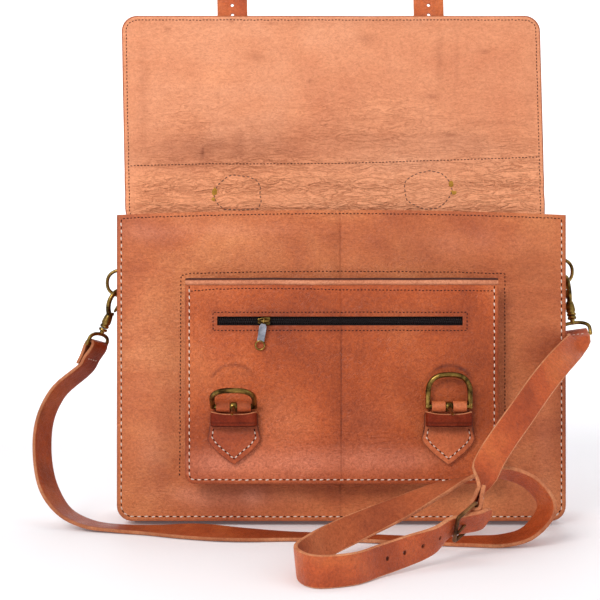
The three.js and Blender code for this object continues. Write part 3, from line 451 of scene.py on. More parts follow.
def pocket_y(x, z):
    rise = z - POCKET["bottom"]
    dents = 0.22 * cloud(x, z, 40, 3) + 0.1 * cloud(x, z, 13, 4)
    inside = smooth(POCKET["half"] - np.abs(x - POCKET["x"]), 2, 18) * smooth(rise, 2, 18)
    return plain_pocket(x, z) + 0.6 * crease(x, rise) + dents * inside * smooth(182 - z, -25, 0.1)


def flap_rise(z):
    return np.clip((z - FLAP["bend"]) / (FLAP["top"] - FLAP["bend"]), 0, 2)


def back_y(x, z):
    fold = np.clip((z - FLAP["bend"]) / 66, 0, 1)
    ripple = 1.3 * np.sin(6 * np.pi * fold) * (1 - fold)
    low = 4 * belly(x, np.minimum(z, BAG["height"])) * (1 - flap_rise(np.minimum(z, FLAP["edge"])))
    creases = 0.7 * cloud(x * 0.22 + 3 * cloud(x, z, 60, 8), z, 7, 5) + 0.8 * cloud(x * 0.3, z, 14, 6)
    bent = smooth(z, 262, 285) * (1 - 0.72 * smooth(z, 325, 372)) * smooth(BAG["half"] - np.abs(x), 0, 18)
    press = 0.7 * hump(x, 108, 6) * smooth(z, 366, 392) * smooth(440 - z, 0, 14)
    press = press - 0.9 * hump(x, 92, 9) * smooth(z, 372, 392) * smooth(442 - z, 0, 14)
    dents = (0.5 * cloud(x, z, 48, 7) + press) * smooth(z, 300, 360) * smooth(452 - z, 0, 12)
    return BAG["depth"] / 2 + low + FLAP["back"] * flap_rise(z) + ripple + 0.9 * creases * bent + dents


def back_point(x, z, proud):
    aside = FLAP["lean"] * flap_rise(z) + (2.8 - 1.4 * x / BAG["half"]) * smooth(z, 250, 275)
    return np.stack([x - aside, back_y(x, z) + proud, z + 0 * x], -1)


def rounded_half(half, radius, rise):
    rise = np.clip(rise, 0, radius)
    return half - radius + np.sqrt(np.maximum(radius ** 2 - (radius - rise) ** 2, 0))


def spread(low, high, step, low_corner=0, high_corner=0, through=()):
    """Heights from low to high, close together in the round corners, that meet the given places."""
    turns = 1 - np.cos(np.linspace(0, np.pi / 2, 9))
    marks = [*(low + low_corner * turns if low_corner else [low])]
    stops = [*sorted(through), high - high_corner]
    for stop in stops:
        count = max(1, round((stop - marks[-1]) / step))
        marks += list(np.linspace(marks[-1], stop, count + 1)[1:])
    if high_corner:
        marks += list((high - high_corner * turns)[::-1][1:])
    return np.array(marks)


print("front belly", round(float(front_y(0.0, 150.0)), 1), "back", round(float(back_y(0.0, 150.0)), 1))

# %% [markdown]
# An operator acts on all that is selected, so every new piece is added with nothing else selected, and an
# edit is made on one piece at a time.

# %% Helpers for working on one piece
FRONT, BACK = (0, -1, 0), (0, 1, 0)


def added(operator, **settings):
    """A new primitive, with nothing else selected."""
    bpy.ops.object.select_all(action="DESELECT")
    operator(**settings)
    return bpy.context.object


def on_all_faces(obj, operator, **settings):
    """Carries out one edit on the whole of a piece."""
    active(obj)
    bpy.ops.object.mode_set(mode="EDIT")
    bpy.ops.mesh.select_all(action="SELECT")
    operator(**settings)
    bpy.ops.object.mode_set(mode="OBJECT")
    return obj


def joined(pieces, name):
    bpy.ops.object.select_all(action="DESELECT")
    for piece in pieces:
        piece.select_set(True)
    bpy.context.view_layer.objects.active = pieces[0]
    if len(pieces) > 1:
        bpy.ops.object.join()
    pieces[0].name = pieces[0].data.name = name
    return pieces[0]


def lay(obj, places):
    """Moves a piece's points to places in millimetres."""
    obj.data.vertices.foreach_set("co", (places * 0.001).ravel())
    obj.data.update()
    return obj


def points_of(obj):
    flat = np.zeros(len(obj.data.vertices) * 3)
    obj.data.vertices.foreach_get("co", flat)
    return flat.reshape(-1, 3)


# %% [markdown]
# A leather panel is a sheet of even thickness with a cut edge. A grid is added, its points are laid on
# the measured surface, it is thickened on the side away from its grain, and its cut edge is rounded.
# The thickened rim takes a second material, the raw or dyed edge that shows round every piece.

# %% Helpers for sheets
def grid_sheet(name, rows, columns, surface):
    """A grid of rows and columns laid on a surface, which gives places in millimetres."""
    obj = added(bpy.ops.mesh.primitive_grid_add, x_subdivisions=len(columns) - 1,
                y_subdivisions=len(rows) - 1, size=2)
    obj.name = obj.data.name = name
    flat = points_of(obj)
    across = np.interp(flat[:, 0], np.linspace(-1, 1, len(columns)), columns)
    up = np.interp(flat[:, 1], np.linspace(-1, 1, len(rows)), rows)
    return lay(obj, surface(across, up))


def sheet_through(name, places):
    """A sheet whose rows of points have places of their own."""
    def surface(column, row):
        return places[np.rint(row).astype(int), np.rint(column).astype(int)]

    return grid_sheet(name, np.arange(places.shape[0]), np.arange(places.shape[1]), surface)


def outward(obj, direction):
    """Turns the faces so that most of them look along a direction, given as a vector or a function."""
    total = 0.0
    for face in obj.data.polygons:
        wanted = direction(face.center) if callable(direction) else Vector(direction)
        total += face.normal.dot(wanted) * face.area
    return on_all_faces(obj, bpy.ops.mesh.flip_normals) if total < 0 else obj


def thicken(obj, thickness, round_edge=0.5, segments=2, rim=1, even=True):
    solid = obj.modifiers.new("thickness", "SOLIDIFY")
    solid.thickness = thickness * 0.001
    solid.offset = -1
    solid.use_even_offset = even
    solid.material_offset_rim = rim
    if round_edge:
        bevel = obj.modifiers.new("edge", "BEVEL")
        bevel.width = round_edge * 0.001
        bevel.segments = segments
        bevel.limit_method = "ANGLE"
        bevel.angle_limit = math.radians(50)
        bevel.use_clamp_overlap = True
    return apply_all(obj)


def dress(obj, looks):
    for look in looks:
        obj.data.materials.append(LOOKS[look])
    return obj


def cut_leather(obj, grain_side, looks, thickness, round_edge=0.5, segments=2, even=True):
    """A sheet with its grain side turned outwards, the looks of its grain and its edge, and a thickness."""
    return thicken(dress(outward(obj, grain_side), looks), thickness, round_edge, segments, even=even)


# %% [markdown]
# A piece is painted with values that its material reads, smoothed, and handed to the body that it rides on.
# A piece that stands for solids names them, so that they are hidden.

# %% Helpers for finished pieces
def paint(obj, name, values):
    """Stores one value a point for the material to read, from a function of places in millimetres."""
    x, y, z = (points_of(obj) * 1000).T
    layer = obj.data.attributes.new(name, "FLOAT", "POINT")
    layer.data.foreach_set("value", np.clip(values(x, y, z), 0, 1).astype(np.float32))


def spots(x, z, table):
    """The sum of soft spots, each with its place, its reach either way and its strength."""
    return sum(strength * hump(x, cx, rx) * hump(z, cz, rz) for cx, cz, rx, rz, strength in table)


def finished(obj, nodes=(), body="bag", angle=40):
    """Smooths a piece below an angle and names its body and the solids that it stands for."""
    if angle:
        active(obj)
        bpy.ops.object.shade_smooth_by_angle(angle=math.radians(angle))
    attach(obj, body)
    if nodes:
        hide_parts(*nodes)
    return obj


# %% [markdown]
# The front panel is one piece of tan leather, 380 mm wide, with round lower corners and a slightly
# arched top. Soft dark spots are painted on it for uneven dye and as painted shade beside and under the
# pocket, down the crease and along the sides and edge, and pale spots are a painted sheen and highlights. Its
# raw edge shows pale all round.

# %% Front panel
# Dark spots: uneven dye, and painted shade beside and under the pocket, down the crease and along the sides.
FRONT_STAINS_AND_SHADE = [
    (160, 205, 24, 46, 0.2), (-146, 110, 12, 80, 0.16), (-160, 45, 20, 20, 0.18), (-150, 225, 30, 18, 0.12),
    (62, 236, 30, 16, 0.22), (165, 140, 24, 90, 0.14), (-40, 240, 40, 12, 0.14), (150, 60, 14, 60, 0.16),
    (60, 30, 80, 9, 0.12), (-185, 150, 5, 110, 0.18), (186, 120, 5, 110, 0.2),
    (CREASE_X, 130, 0.65, 200, 0.6), (-4, 235, 5, 70, 0.16),
]
# Pale spots: painted highlights near the top and a painted sheen along the foot.
FRONT_SHEEN = [
    (-170, 150, 14, 60, 0.1), (-165, 250, 24, 9, 0.26), (-100, 250, 60, 6, 0.2), (110, 240, 40, 10, 0.2),
    (172, 60, 8, 40, 0.15), (-112, 25, 30, 9, 0.65), (-62, 25, 26, 8, 0.38), (-160, 60, 12, 30, 0.16),
]


def front_surface(column, row):
    x = column * rounded_half(BAG["half"], BAG["corner"], row - BAG["lift"])
    share = (row - BAG["lift"]) / (BAG["height"] - BAG["lift"])
    z = row + share * BAG["crown"] * (1 - column ** 2) - 0.9 * hump(x, CREASE_X, 2.2) * share ** 12
    return np.stack([x, front_y(x, z), z], -1)


def from_edge(x, z, half, bottom, corner):
    """How far inside a sheet with round lower corners a place is."""
    across, up = np.abs(x) - half + corner, bottom + corner - z
    return corner - np.hypot(np.maximum(across, 0), np.maximum(up, 0)) - np.minimum(np.maximum(across, up), 0)


def front_dark(x, y, z):
    # A dark rim painted along the cut edge, for the darker dyed edge and the painted shade along the foot.
    rim = 0.42 * (1 - smooth(from_edge(x, z, BAG["half"], BAG["lift"], BAG["corner"]), 0.6, 2.4))
    return spots(x, z, FRONT_STAINS_AND_SHADE) * (0.75 + 0.5 * cloud(x, z, 22, 11)) + rim


def make_front_panel():
    columns = with_crease(np.linspace(-1, 1, 181), BAG["half"])
    rows = spread(BAG["lift"], BAG["height"], 2.1, BAG["corner"])
    obj = cut_leather(grid_sheet("front_leather", rows, columns, front_surface), FRONT, ["panel", "raw"], 2.5)
    paint(obj, "dark", front_dark)
    paint(obj, "pale", lambda x, y, z: spots(x, z, FRONT_SHEEN) * (0.7 + 0.4 * cloud(x, z, 15, 12)))
    paint(obj, "wrinkle", lambda x, y, z: 0.28 * smooth(cloud(x, z, 50, 17), -0.4, 0.8))
    return finished(obj, ["front_panel"])


front_leather = make_front_panel()
print("front leather", len(front_leather.data.polygons), "faces")

# %% [markdown]
# One strip of leather makes both sides and the bottom. It is turned in along both edges, sewn to the
# front and the back, and folds inwards at the sides because the bag is not full. Its base sags to the table.
# A line across the strip has one inset at the sides and another along the base, and blends between them.

# %% Gusset
BODY_SIZE = {"x": 0, "half": BAG["half"], "bottom": BAG["lift"], "corner": BAG["corner"]}
SECTION = [(-35.2, 0.4, 0.4), (-35.2, 4.6, 4.0), (-32, 6, 4.4), (-26, 6, -2.2), (-17, 6, -4), (0, 6, -4)]
FOLD_HALF, FOLD_DEPTH = 30, 6


def section_line(points, steps):
    """A smooth line through points, with the given number of steps between neighbours."""
    points = np.asarray(points, float)
    ends = np.vstack([2 * points[0] - points[1], points, 2 * points[-1] - points[-2]])
    line = []
    for i in range(1, len(ends) - 2):
        p0, p1, p2, p3 = ends[i - 1:i + 3]
        for t in np.arange(steps) / steps:
            line.append(0.5 * (2 * p1 + (p2 - p0) * t + (2 * p0 - 5 * p1 + 4 * p2 - p3) * t * t
                               + (3 * p1 - p0 - 3 * p2 + p3) * t ** 3))
    return np.array([*line, points[-1]])


def u_route(top, step, x, half, bottom, corner):
    """Stations down the left edge, along the foot and up the right edge: kind, sign and value."""
    heights = np.linspace(top, bottom + corner, round((top - bottom - corner) / step) + 1)
    angles = np.linspace(0, np.pi / 2, 9)[1:]
    run = np.linspace(x - half + corner, x + half - corner, round(2 * (half - corner) / step) + 1)[1:-1]
    left = [("side", -1, z) for z in heights] + [("turn", -1, a) for a in angles]
    right = [("turn", 1, a) for a in angles[::-1]] + [("side", 1, z) for z in heights[::-1]]
    return left + [("foot", 0, px) for px in run] + right


def on_route(station, inset, x, half, bottom, corner):
    kind, sign, value = station
    if kind == "side":
        return x + sign * (half - inset), value
    if kind == "foot":
        return value, bottom + inset
    bend = max(corner - inset, 1)
    reach = half - inset - bend + bend * math.cos(value)
    return x + sign * reach, bottom + inset + bend - bend * math.sin(value)


def side_fold(y, z):
    if abs(y) >= FOLD_HALF:
        return 0
    return FOLD_DEPTH * (1 - (y / FOLD_HALF) ** 2) * math.sin(math.pi * min(max(z / 200, 0), 1))


def make_gusset():
    mirrored = [(-y, side, base) for y, side, base in SECTION[-2::-1]]
    line = section_line(SECTION + mirrored, 4)
    route = u_route(255, 5, **BODY_SIZE)
    places = np.zeros((len(route), len(line), 3))
    for i, station in enumerate(route):
        kind, _, value = station
        z = value if kind == "side" else BAG["lift"]
        low = {"side": 0.5 * smooth(-z, -77, -17), "turn": 0.5 + value / np.pi, "foot": 1.0}[kind]
        for j, (y, side, base) in enumerate(line):
            inset = (side + side_fold(y, z)) * (1 - low) + base * low
            px, pz = on_route(station, inset, **BODY_SIZE)
            places[i, j] = px, y, pz
    obj = sheet_through("gusset_leather", places)
    cut_leather(obj, lambda c: Vector((c.x, 0, c.z - 0.13)), ["panel", "raw"], 2, 0.4, even=False)
    # Painted shade down the middle of each side fold, where it turns inwards, and along the foot under the
    # bag.
    paint(obj, "dark", lambda x, y, z: 0.25 * hump(y, 0, 14) * (np.abs(x) > 165) + 0.2 * (z < 12))
    return finished(obj, ["gusset"], angle=60)


gusset_leather = make_gusset()
print("gusset leather", len(gusset_leather.data.polygons), "faces")

# %% [markdown]
# The back and the flap are one piece of leather. It bends at the top of the back, ripples where it bends
# and stands up behind the bag, leaning a little to the left. A thinner, paler leather lines the flap.
# The lining has water marks and small dark stains, and it is wrinkled most just above the bend.

# %% Back, flap and lining
LINING_FACE = -4
LINING_INSET = 1.2
LINING_STAINS = [
    (26, 430, 7, 5, 0.34), (-74, 413, 7.5, 4, 0.36), (84, 377, 5, 2, 0.5), (-156, 438, 3, 2.5, 0.42),
    (102, 342, 6, 1.6, 0.45), (112, 334, 24, 10, 0.24), (-26, 391, 2.4, 2, 0.42), (-97, 446, 1.8, 2, 0.5),
    (-61, 444, 3.5, 1.5, 0.45), (133, 418, 5, 2, 0.42), (-124, 326, 1.4, 7, 0.45), (-12, 350, 1.6, 1.6, 0.45),
    (20, 356, 70, 5, 0.12), (-165, 285, 12, 9, 0.12), (150, 296, 30, 8, 0.08), (-140, 328, 52, 14, 0.34),
    (-80, 328, 50, 13, 0.3), (162, 330, 26, 13, 0.14), (-100, 352, 60, 4, 0.12), (40, 340, 80, 4, 0.14),
    (140, 352, 40, 4, 0.16), (-178, 380, 5, 60, 0.16), (176, 380, 6, 60, 0.14), (0, 444, 180, 4, 0.14),
    (92, 408, 3, 24, 0.2), (108, 405, 2.5, 26, 0.16), (-60, 338, 70, 12, 0.12), (30, 332, 60, 9, 0.14),
    (-130, 312, 40, 5, 0.1), (60, 309, 90, 5, 0.08),
]


def make_back():
    columns = np.linspace(-1, 1, 131)
    rows = spread(BAG["lift"], FLAP["top"], 3, BAG["corner"], FLAP["corner"])

    def surface(column, row):
        foot = rounded_half(BAG["half"], BAG["corner"], row - BAG["lift"])
        head = rounded_half(BAG["half"], FLAP["corner"], FLAP["top"] - row)
        return back_point(column * np.minimum(foot, head), row, 0)

    obj = cut_leather(grid_sheet("back_leather", rows, columns, surface), BACK, ["outside", "dark_edge"], 2.5)
    paint(obj, "dark", lambda x, y, z: 0.3 * hump(z, FLAP["bend"], 9) * (0.8 + 0.4 * cloud(x, z, 20, 13)))
    return finished(obj, ["back_flap"])


def lining_wrinkles(x, y, z):
    """Strong above the bend, fading out half way up the flap, and patchy."""
    band = 0.36 * (1 - smooth(z, 314, 326)) + 0.4 * (1 - smooth(z, 330, 404)) + 0.12
    return band * (0.85 + 0.45 * cloud(x, z, 45, 16)) * smooth(BAG["half"] - np.abs(x), -4, 16)


def lining_pale(x, y, z):
    return 0.25 * smooth(cloud(x, z, 36, 15), 0.25, 0.8) + 0.5 * (1 - smooth(z, 300, 320))


def make_lining():
    top, half = FLAP["top"] - LINING_INSET, BAG["half"] - LINING_INSET
    columns = np.linspace(-1, 1, 221)
    rows = spread(258, top, 1.6, 0, FLAP["corner"])

    def surface(column, row):
        return back_point(column * rounded_half(half, FLAP["corner"], top - row), row, LINING_FACE)

    obj = grid_sheet("lining_leather", rows, columns, surface)
    cut_leather(obj, FRONT, ["lining", "dark_edge"], 1.1, 0.3)
    paint(obj, "dark", lambda x, y, z: spots(x, z, LINING_STAINS) * (0.85 + 0.3 * cloud(x, z, 9, 14)))
    paint(obj, "pale", lining_pale)
    paint(obj, "wrinkle", lining_wrinkles)
    return finished(obj, ["flap_lining"])


back_leather = make_back()
lining_leather = make_lining()
print("flap faces", len(back_leather.data.polygons), "lining faces", len(lining_leather.data.polygons))

# %% [markdown]
# The box pocket stands about 20 mm off the front. Its face is one piece of redder leather with a window
# cut for the zip, and its top edge is bound with a rolled strip. The face is painted darker round the buckles
# and the zip, with painted shade down the crease and along its edge and a painted sheen along its foot, and
# each buckle has pressed a faint arc into it where it rests when the flap is shut.

# %% Pocket face
# Dark spots round the buckles and across the face, and painted shade down the crease.
POCKET_STAINS_AND_SHADE = [
    (0, 190, 120, 9, 0.16), (-62, 180, 60, 14, 0.16), (-20, 150, 40, 22, 0.14), (60, 150, 36, 26, 0.2),
    (110, 100, 14, 60, 0.2), (-118, 110, 10, 50, 0.2), (-90, 80, 34, 24, 0.12), (87, 74, 34, 26, 0.16),
    (0, 44, 110, 5, 0.12), (112, 148, 22, 30, 0.28), (106, 114, 20, 26, 0.16), (66, 100, 26, 32, 0.2),
    (CREASE_X, 110, 0.65, 120, 0.6), (-4, 120, 6, 90, 0.12), (20, 100, 24, 40, 0.12),
    (-50, 120, 20, 34, 0.12), (97, 134, 1.6, 1.6, 0.3),
]
# Pale spots: a painted sheen, strongest along the foot.
POCKET_SHEEN = [
    (-104, 150, 14, 34, 0.03), (-50, 84, 34, 24, 0.1), (-104, 56, 28, 11, 0.42), (-44, 56, 38, 12, 0.44),
    (18, 58, 32, 12, 0.42), (64, 60, 26, 11, 0.26), (20, 92, 24, 18, 0.08),
]
BUCKLE_PRINTS = ((-90, 119.2), (88.5, 118.6))


def pocket_surface(column, row):
    x = POCKET["x"] + column * rounded_half(POCKET["half"], POCKET["corner"], row - POCKET["bottom"])
    return np.stack([x, pocket_y(x, row), row + 0 * x], -1)


def pocket_dark(x, y, z):
    dark = spots(x, z, POCKET_STAINS_AND_SHADE) * (0.8 + 0.5 * cloud(x, z, 18, 21))
    # A dark rim painted along the face's edge, for its dyed edge and the shade line along it.
    rim = from_edge(x - POCKET["x"], z, POCKET["half"], POCKET["bottom"], POCKET["corner"])
    dark = dark + 0.4 * (1 - smooth(rim, 0.5, 2.2))
    for centre, height in BUCKLE_PRINTS:
        away = np.hypot((x - centre) / 1.06, z - height)
        arc = hump(away, 18.4, 1.4) * smooth(z, height + 3, height + 12)
        dark = dark + 0.62 * arc * (0.75 + 0.5 * cloud(x, z, 8, 22))
    from_zip = np.maximum(np.abs(x + 2) - 104.5, np.abs(z - 173.7) - 6.5)
    return dark + 0.22 * hump(np.maximum(from_zip, 0), 0, 4) * (from_zip < 14)


def pocket_wrinkles(x, y, z):
    return 0.3 * smooth(cloud(x, z, 36, 25), -0.2, 0.8) * smooth(130 - z, -20, 30)


def drop_faces(obj, test):
    """Deletes the faces whose middles, in millimetres, pass a test."""
    active(obj)
    bpy.context.tool_settings.mesh_select_mode = (False, False, True)
    for face in obj.data.polygons:
        face.select = bool(test(face.center * 1000))
    bpy.ops.object.mode_set(mode="EDIT")
    bpy.ops.mesh.delete(type="FACE")
    bpy.ops.object.mode_set(mode="OBJECT")


def make_pocket_face():
    fineness = 1.35
    sides = [(x - POCKET["x"]) / POCKET["half"] for x in (ZIP["left"], ZIP["right"])]
    columns = with_crease(spread(-1, 1, fineness / POCKET["half"], through=sides), POCKET["half"])
    rows = spread(POCKET["bottom"], POCKET["top"] - 1.6, fineness, POCKET["corner"],
                  through=(ZIP["bottom"], ZIP["top"]))
    obj = grid_sheet("pocket_face", rows, columns, pocket_surface)
    drop_faces(obj, lambda c: ZIP["left"] < c.x < ZIP["right"] and ZIP["bottom"] < c.z < ZIP["top"])
    cut_leather(obj, FRONT, ["pocket", "dark_edge"], 2.5, 0.45)
    paint(obj, "dark", pocket_dark)
    paint(obj, "pale", lambda x, y, z: spots(x, z, POCKET_SHEEN) * (0.95 + 0.25 * cloud(x, z, 26, 23)))
    paint(obj, "wrinkle", pocket_wrinkles)
    return finished(obj, ["pocket_front"])


pocket_face = make_pocket_face()
print("pocket face", len(pocket_face.data.polygons), "faces")

# %% [markdown]
# The pocket's wall is a U-shaped strip. One edge is turned in behind the face, the wall is set in from
# the face's edge, and the other edge is turned in under the pocket and sewn to the front panel.
# Each point of its section has an inset, a share of the way back to the front panel, and a small step.

# %% Pocket wall
POCKET_SIZE = {key: POCKET[key] for key in ("x", "half", "bottom", "corner")}
WALL_LINE = [
    (0.6, 0, 2.3), (4.6, 0, 2.3), (5.6, 0.02, 2.3), (6.1, 0.1, 2), (6.4, 0.3, 1.4), (6.5, 0.6, 0.6),
    (6.2, 0.88, 0), (6.3, 0.97, -0.1), (7.2, 1, -0.3), (11, 1, -0.3), (15, 1, -0.3),
]


def make_pocket_wall():
    route = u_route(199.6, 4, **POCKET_SIZE)
    places = np.zeros((len(route), len(WALL_LINE), 3))
    for i, station in enumerate(route):
        for j, (inset, depth, step) in enumerate(WALL_LINE):
            px, pz = on_route(station, inset, **POCKET_SIZE)
            near, far = float(pocket_y(px, pz)) + 2.5, plain_front(px, pz)
            places[i, j] = px, near * (1 - depth) + far * depth + step, pz
    obj = sheet_through("pocket_wall", places)
    cut_leather(obj, lambda c: Vector((c.x, 0.05, c.z - 0.12)), ["pocket", "dark_edge"], 2, 0, even=False)
    # The wall is painted darker all over, for the shade in the gap under the face's edge, with uneven tone.
    paint(obj, "dark", lambda x, y, z: 0.3 + 0.2 * cloud(x, z, 20, 24))
    return finished(obj, ["pocket_gusset"], angle=60)


pocket_wall = make_pocket_wall()
print("pocket wall", len(pocket_wall.data.polygons), "faces")

# %% [markdown]
# A strap is a strip of one cross-section: a flat grain side, a rougher flesh side, and two cut edges that
# are rounded and paler. The section is carried along a line of stations, turned to face the way the strap
# faces at each. The keepers, ring tabs, closing straps and the pocket's binding are made the same way.

# %% Helpers for straps
def unit(vector):
    return np.asarray(vector, float) / np.linalg.norm(vector)


def linked(name, data):
    """A new piece of given data, ready to be worked on."""
    obj = bpy.data.objects.new(name, data)
    bpy.context.scene.collection.objects.link(obj)
    return active(obj)


def from_places(name, places, faces, edges=()):
    """A new piece from places in millimetres."""
    mesh = bpy.data.meshes.new(name)
    mesh.from_pydata((np.asarray(places, float) * 0.001).tolist(), edges, faces)
    return linked(name, mesh)


def strap_section(width, thickness, corner, columns=8, crown=0.12):
    """The outline of a strap's section from the upper left, clockwise, with a look for each side of it."""
    half, rise = width / 2, thickness / 2
    flats = np.linspace(-half + corner, half - corner, columns)
    top = [(a, rise + crown * (1 - (a / half) ** 2)) for a in flats]
    right = [(half - 0.3 * corner, rise - 0.3 * corner), (half, rise - corner), (half, -rise + corner),
             (half - 0.3 * corner, -rise + 0.3 * corner)]
    below = [(-a, -rise - crown * (1 - (a / half) ** 2)) for a in flats]
    left = [(-a, -b) for a, b in right]
    looks = [0] * (columns - 1) + [1] * 5 + [2] * (columns - 1) + [1] * 5
    return np.array(top + right + below + left), looks


def sweep(name, middles, acrosses, section, looks, scales=None):
    """A closed strip of a section along stations, in millimetres."""
    middles, acrosses = np.asarray(middles, float), np.asarray(acrosses, float)
    count, ring = len(middles), len(section)
    forward = np.gradient(middles, axis=0)
    forward /= np.linalg.norm(forward, axis=1)[:, None]
    acrosses = acrosses - forward * np.sum(forward * acrosses, 1)[:, None]
    acrosses /= np.linalg.norm(acrosses, axis=1)[:, None]
    ups = np.cross(forward, acrosses)
    scales = np.ones(count) if scales is None else np.asarray(scales)
    places = (middles[:, None] + acrosses[:, None] * (section[None, :, :1] * scales[:, None, None])
              + ups[:, None] * section[None, :, 1:])
    index = np.arange(count * ring).reshape(count, ring)
    after = np.roll(index, -1, axis=1)
    quads = np.stack([index[:-1], after[:-1], after[1:], index[1:]], -1).reshape(-1, 4)
    faces = quads.tolist() + [index[0][::-1].tolist(), index[-1].tolist()]
    obj = from_places(name, places.reshape(-1, 3), faces)
    for face, look in zip(obj.data.polygons, list(np.tile(looks, count - 1)) + [1, 1]):
        face.material_index = int(look)
    return on_all_faces(obj, bpy.ops.mesh.normals_make_consistent, inside=False)


def curve_through(points, steps):
    """Places on a smooth curve through points, with equal steps between neighbours."""
    points = np.asarray(points, float)
    ends = np.vstack([2 * points[0] - points[1], points, 2 * points[-1] - points[-2]])
    t = np.arange(steps)[:, None] / steps
    line = []
    for i in range(1, len(ends) - 2):
        x0, x1, x2, x3 = ends[i - 1:i + 3]
        d0, d1, d2 = (np.sqrt(np.linalg.norm(b - a)) for a, b in ((x0, x1), (x1, x2), (x2, x3)))
        d1 = d1 if d1 > 1e-4 else 1.0
        d0, d2 = (d if d > 1e-4 else d1 for d in (d0, d2))
        m1 = ((x1 - x0) / d0 - (x2 - x0) / (d0 + d1) + (x2 - x1) / d1) * d1
        m2 = ((x2 - x1) / d1 - (x3 - x1) / (d1 + d2) + (x3 - x2) / d2) * d1
        line.append(x1 + m1 * t + (-3 * x1 + 3 * x2 - 2 * m1 - m2) * t ** 2
                    + (2 * x1 - 2 * x2 + m1 + m2) * t ** 3)
    return np.vstack([*line, points[-1:]])


def punch(obj, holes, radius):
    """Cuts round holes, each given by its middle and the direction through the strap, in millimetres."""
    cutters = []
    for middle, through in holes:
        cutter = added(bpy.ops.mesh.primitive_cylinder_add, vertices=20, radius=radius * 0.001, depth=0.012)
        turn = Vector(through).to_track_quat("Z", "Y").to_matrix().to_4x4()
        cutter.data.transform(Matrix.Translation(Vector(middle) * 0.001) @ turn)
        cutters.append(dress(cutter, ["dark_edge"]))
    tool = joined(cutters, "punch")
    cut = obj.modifiers.new("holes", "BOOLEAN")
    cut.object = tool
    cut.operation = "DIFFERENCE"
    cut.solver = "EXACT"
    cut.material_mode = "TRANSFER"
    apply_all(obj)
    bpy.data.objects.remove(tool)
    return obj


# %% [markdown]
# The pocket's binding is a soft roll of lighter leather over the top edge of its face, a little over
# 6 mm high. It is drawn in at both ends. Its upper edge is dark, a painted shadow of the gap between the roll
# and the panel, and its lower part has painted shade.

# %% Pocket binding
BINDING = {"half": 129.2, "z": 206.4, "high": 3.0, "deep": 2.5}


def squared(value, power):
    return np.sign(value) * np.abs(value) ** power


# Painted shade on the roll's lower part, a painted shadow line along its top, and uneven tone.
def binding_dark(x, y, z):
    return 0.35 * smooth(205.4 - z, 0, 1.6) + 0.1 * cloud(x, z, 12, 32) + 1.2 * smooth(z, 207.3, 208)


def make_binding():
    x = np.linspace(POCKET["x"] - BINDING["half"], POCKET["x"] + BINDING["half"], 120)
    z = BINDING["z"] + 0.25 * cloud(x, 0 * x, 30, 31)
    middles = np.stack([x, pocket_y(x, z) + 1.0, z], -1)
    angles = np.linspace(0, 2 * np.pi, 40, endpoint=False)
    roll = np.stack([BINDING["high"] * squared(np.cos(angles), 0.6),
                     BINDING["deep"] * squared(np.sin(angles), 0.55)], -1)
    pinch = 1 - 0.12 * hump(np.abs(x - POCKET["x"]), BINDING["half"], 1.2)
    # The upper faces take the dark dyed-edge look, standing for the shadowed gap between the roll and the
    # panel.
    looks = [1] * 9 + [0] * 22 + [1] * 9  # the upper faces of the roll are dark
    obj = sweep("pocket_binding", middles, [(0, 0, 1.0)] * len(x), roll, looks, pinch)
    paint(dress(obj, ["hem", "dark_edge"]), "dark", binding_dark)
    return finished(obj, angle=70)


binding = make_binding()
print("binding", len(binding.data.polygons), "faces")

# %% [markdown]
# Each buckle is held by a pointed shield of leather that is rolled round the buckle's bar and sewn to the
# pocket. The roll has a slot in the middle where the prong turns. The shield is a sheet whose half width
# at each drop below the bar comes from a short list, and the rolls are two thick tubes joined to it.

# %% Buckle tabs
SHIELD = [(0, 14.3), (4.2, 14.6), (5.2, 18.4), (7, 19.8), (16.5, 20), (22, 20.9), (26.5, 22),
          (29, 21.3), (32.2, 19.1), (38, 13.8), (43.7, 6.6), (47.8, 0.9)]
TAB = {"roll": 14.3, "slot": 3.1, "radius": 4.6, "bar_out": 4.9, "proud": 3.3}
ALONG_X = Matrix.Rotation(math.pi / 2, 4, "Y")


def buckle_bar(side):
    x = BUCKLE_X[side]
    plain = [plain_pocket(px, BUCKLE_Z) for px in (x - TAB["roll"], x, x + TAB["roll"])]
    return np.array([x, min(plain) - TAB["bar_out"], BUCKLE_Z])


def tube(radius, length, sides):
    return added(bpy.ops.mesh.primitive_cylinder_add, vertices=sides, radius=radius * 0.001,
                 depth=length * 0.001, end_fill_type="NOTHING")


def tab_reach(drop):
    return np.interp(drop, *np.array(SHIELD).T)


def tab_puff(share, drop):
    return 0.5 * (1 - np.abs(share) ** 3) * smooth(drop, 14, 24) * smooth(47 - drop, 0, 10)


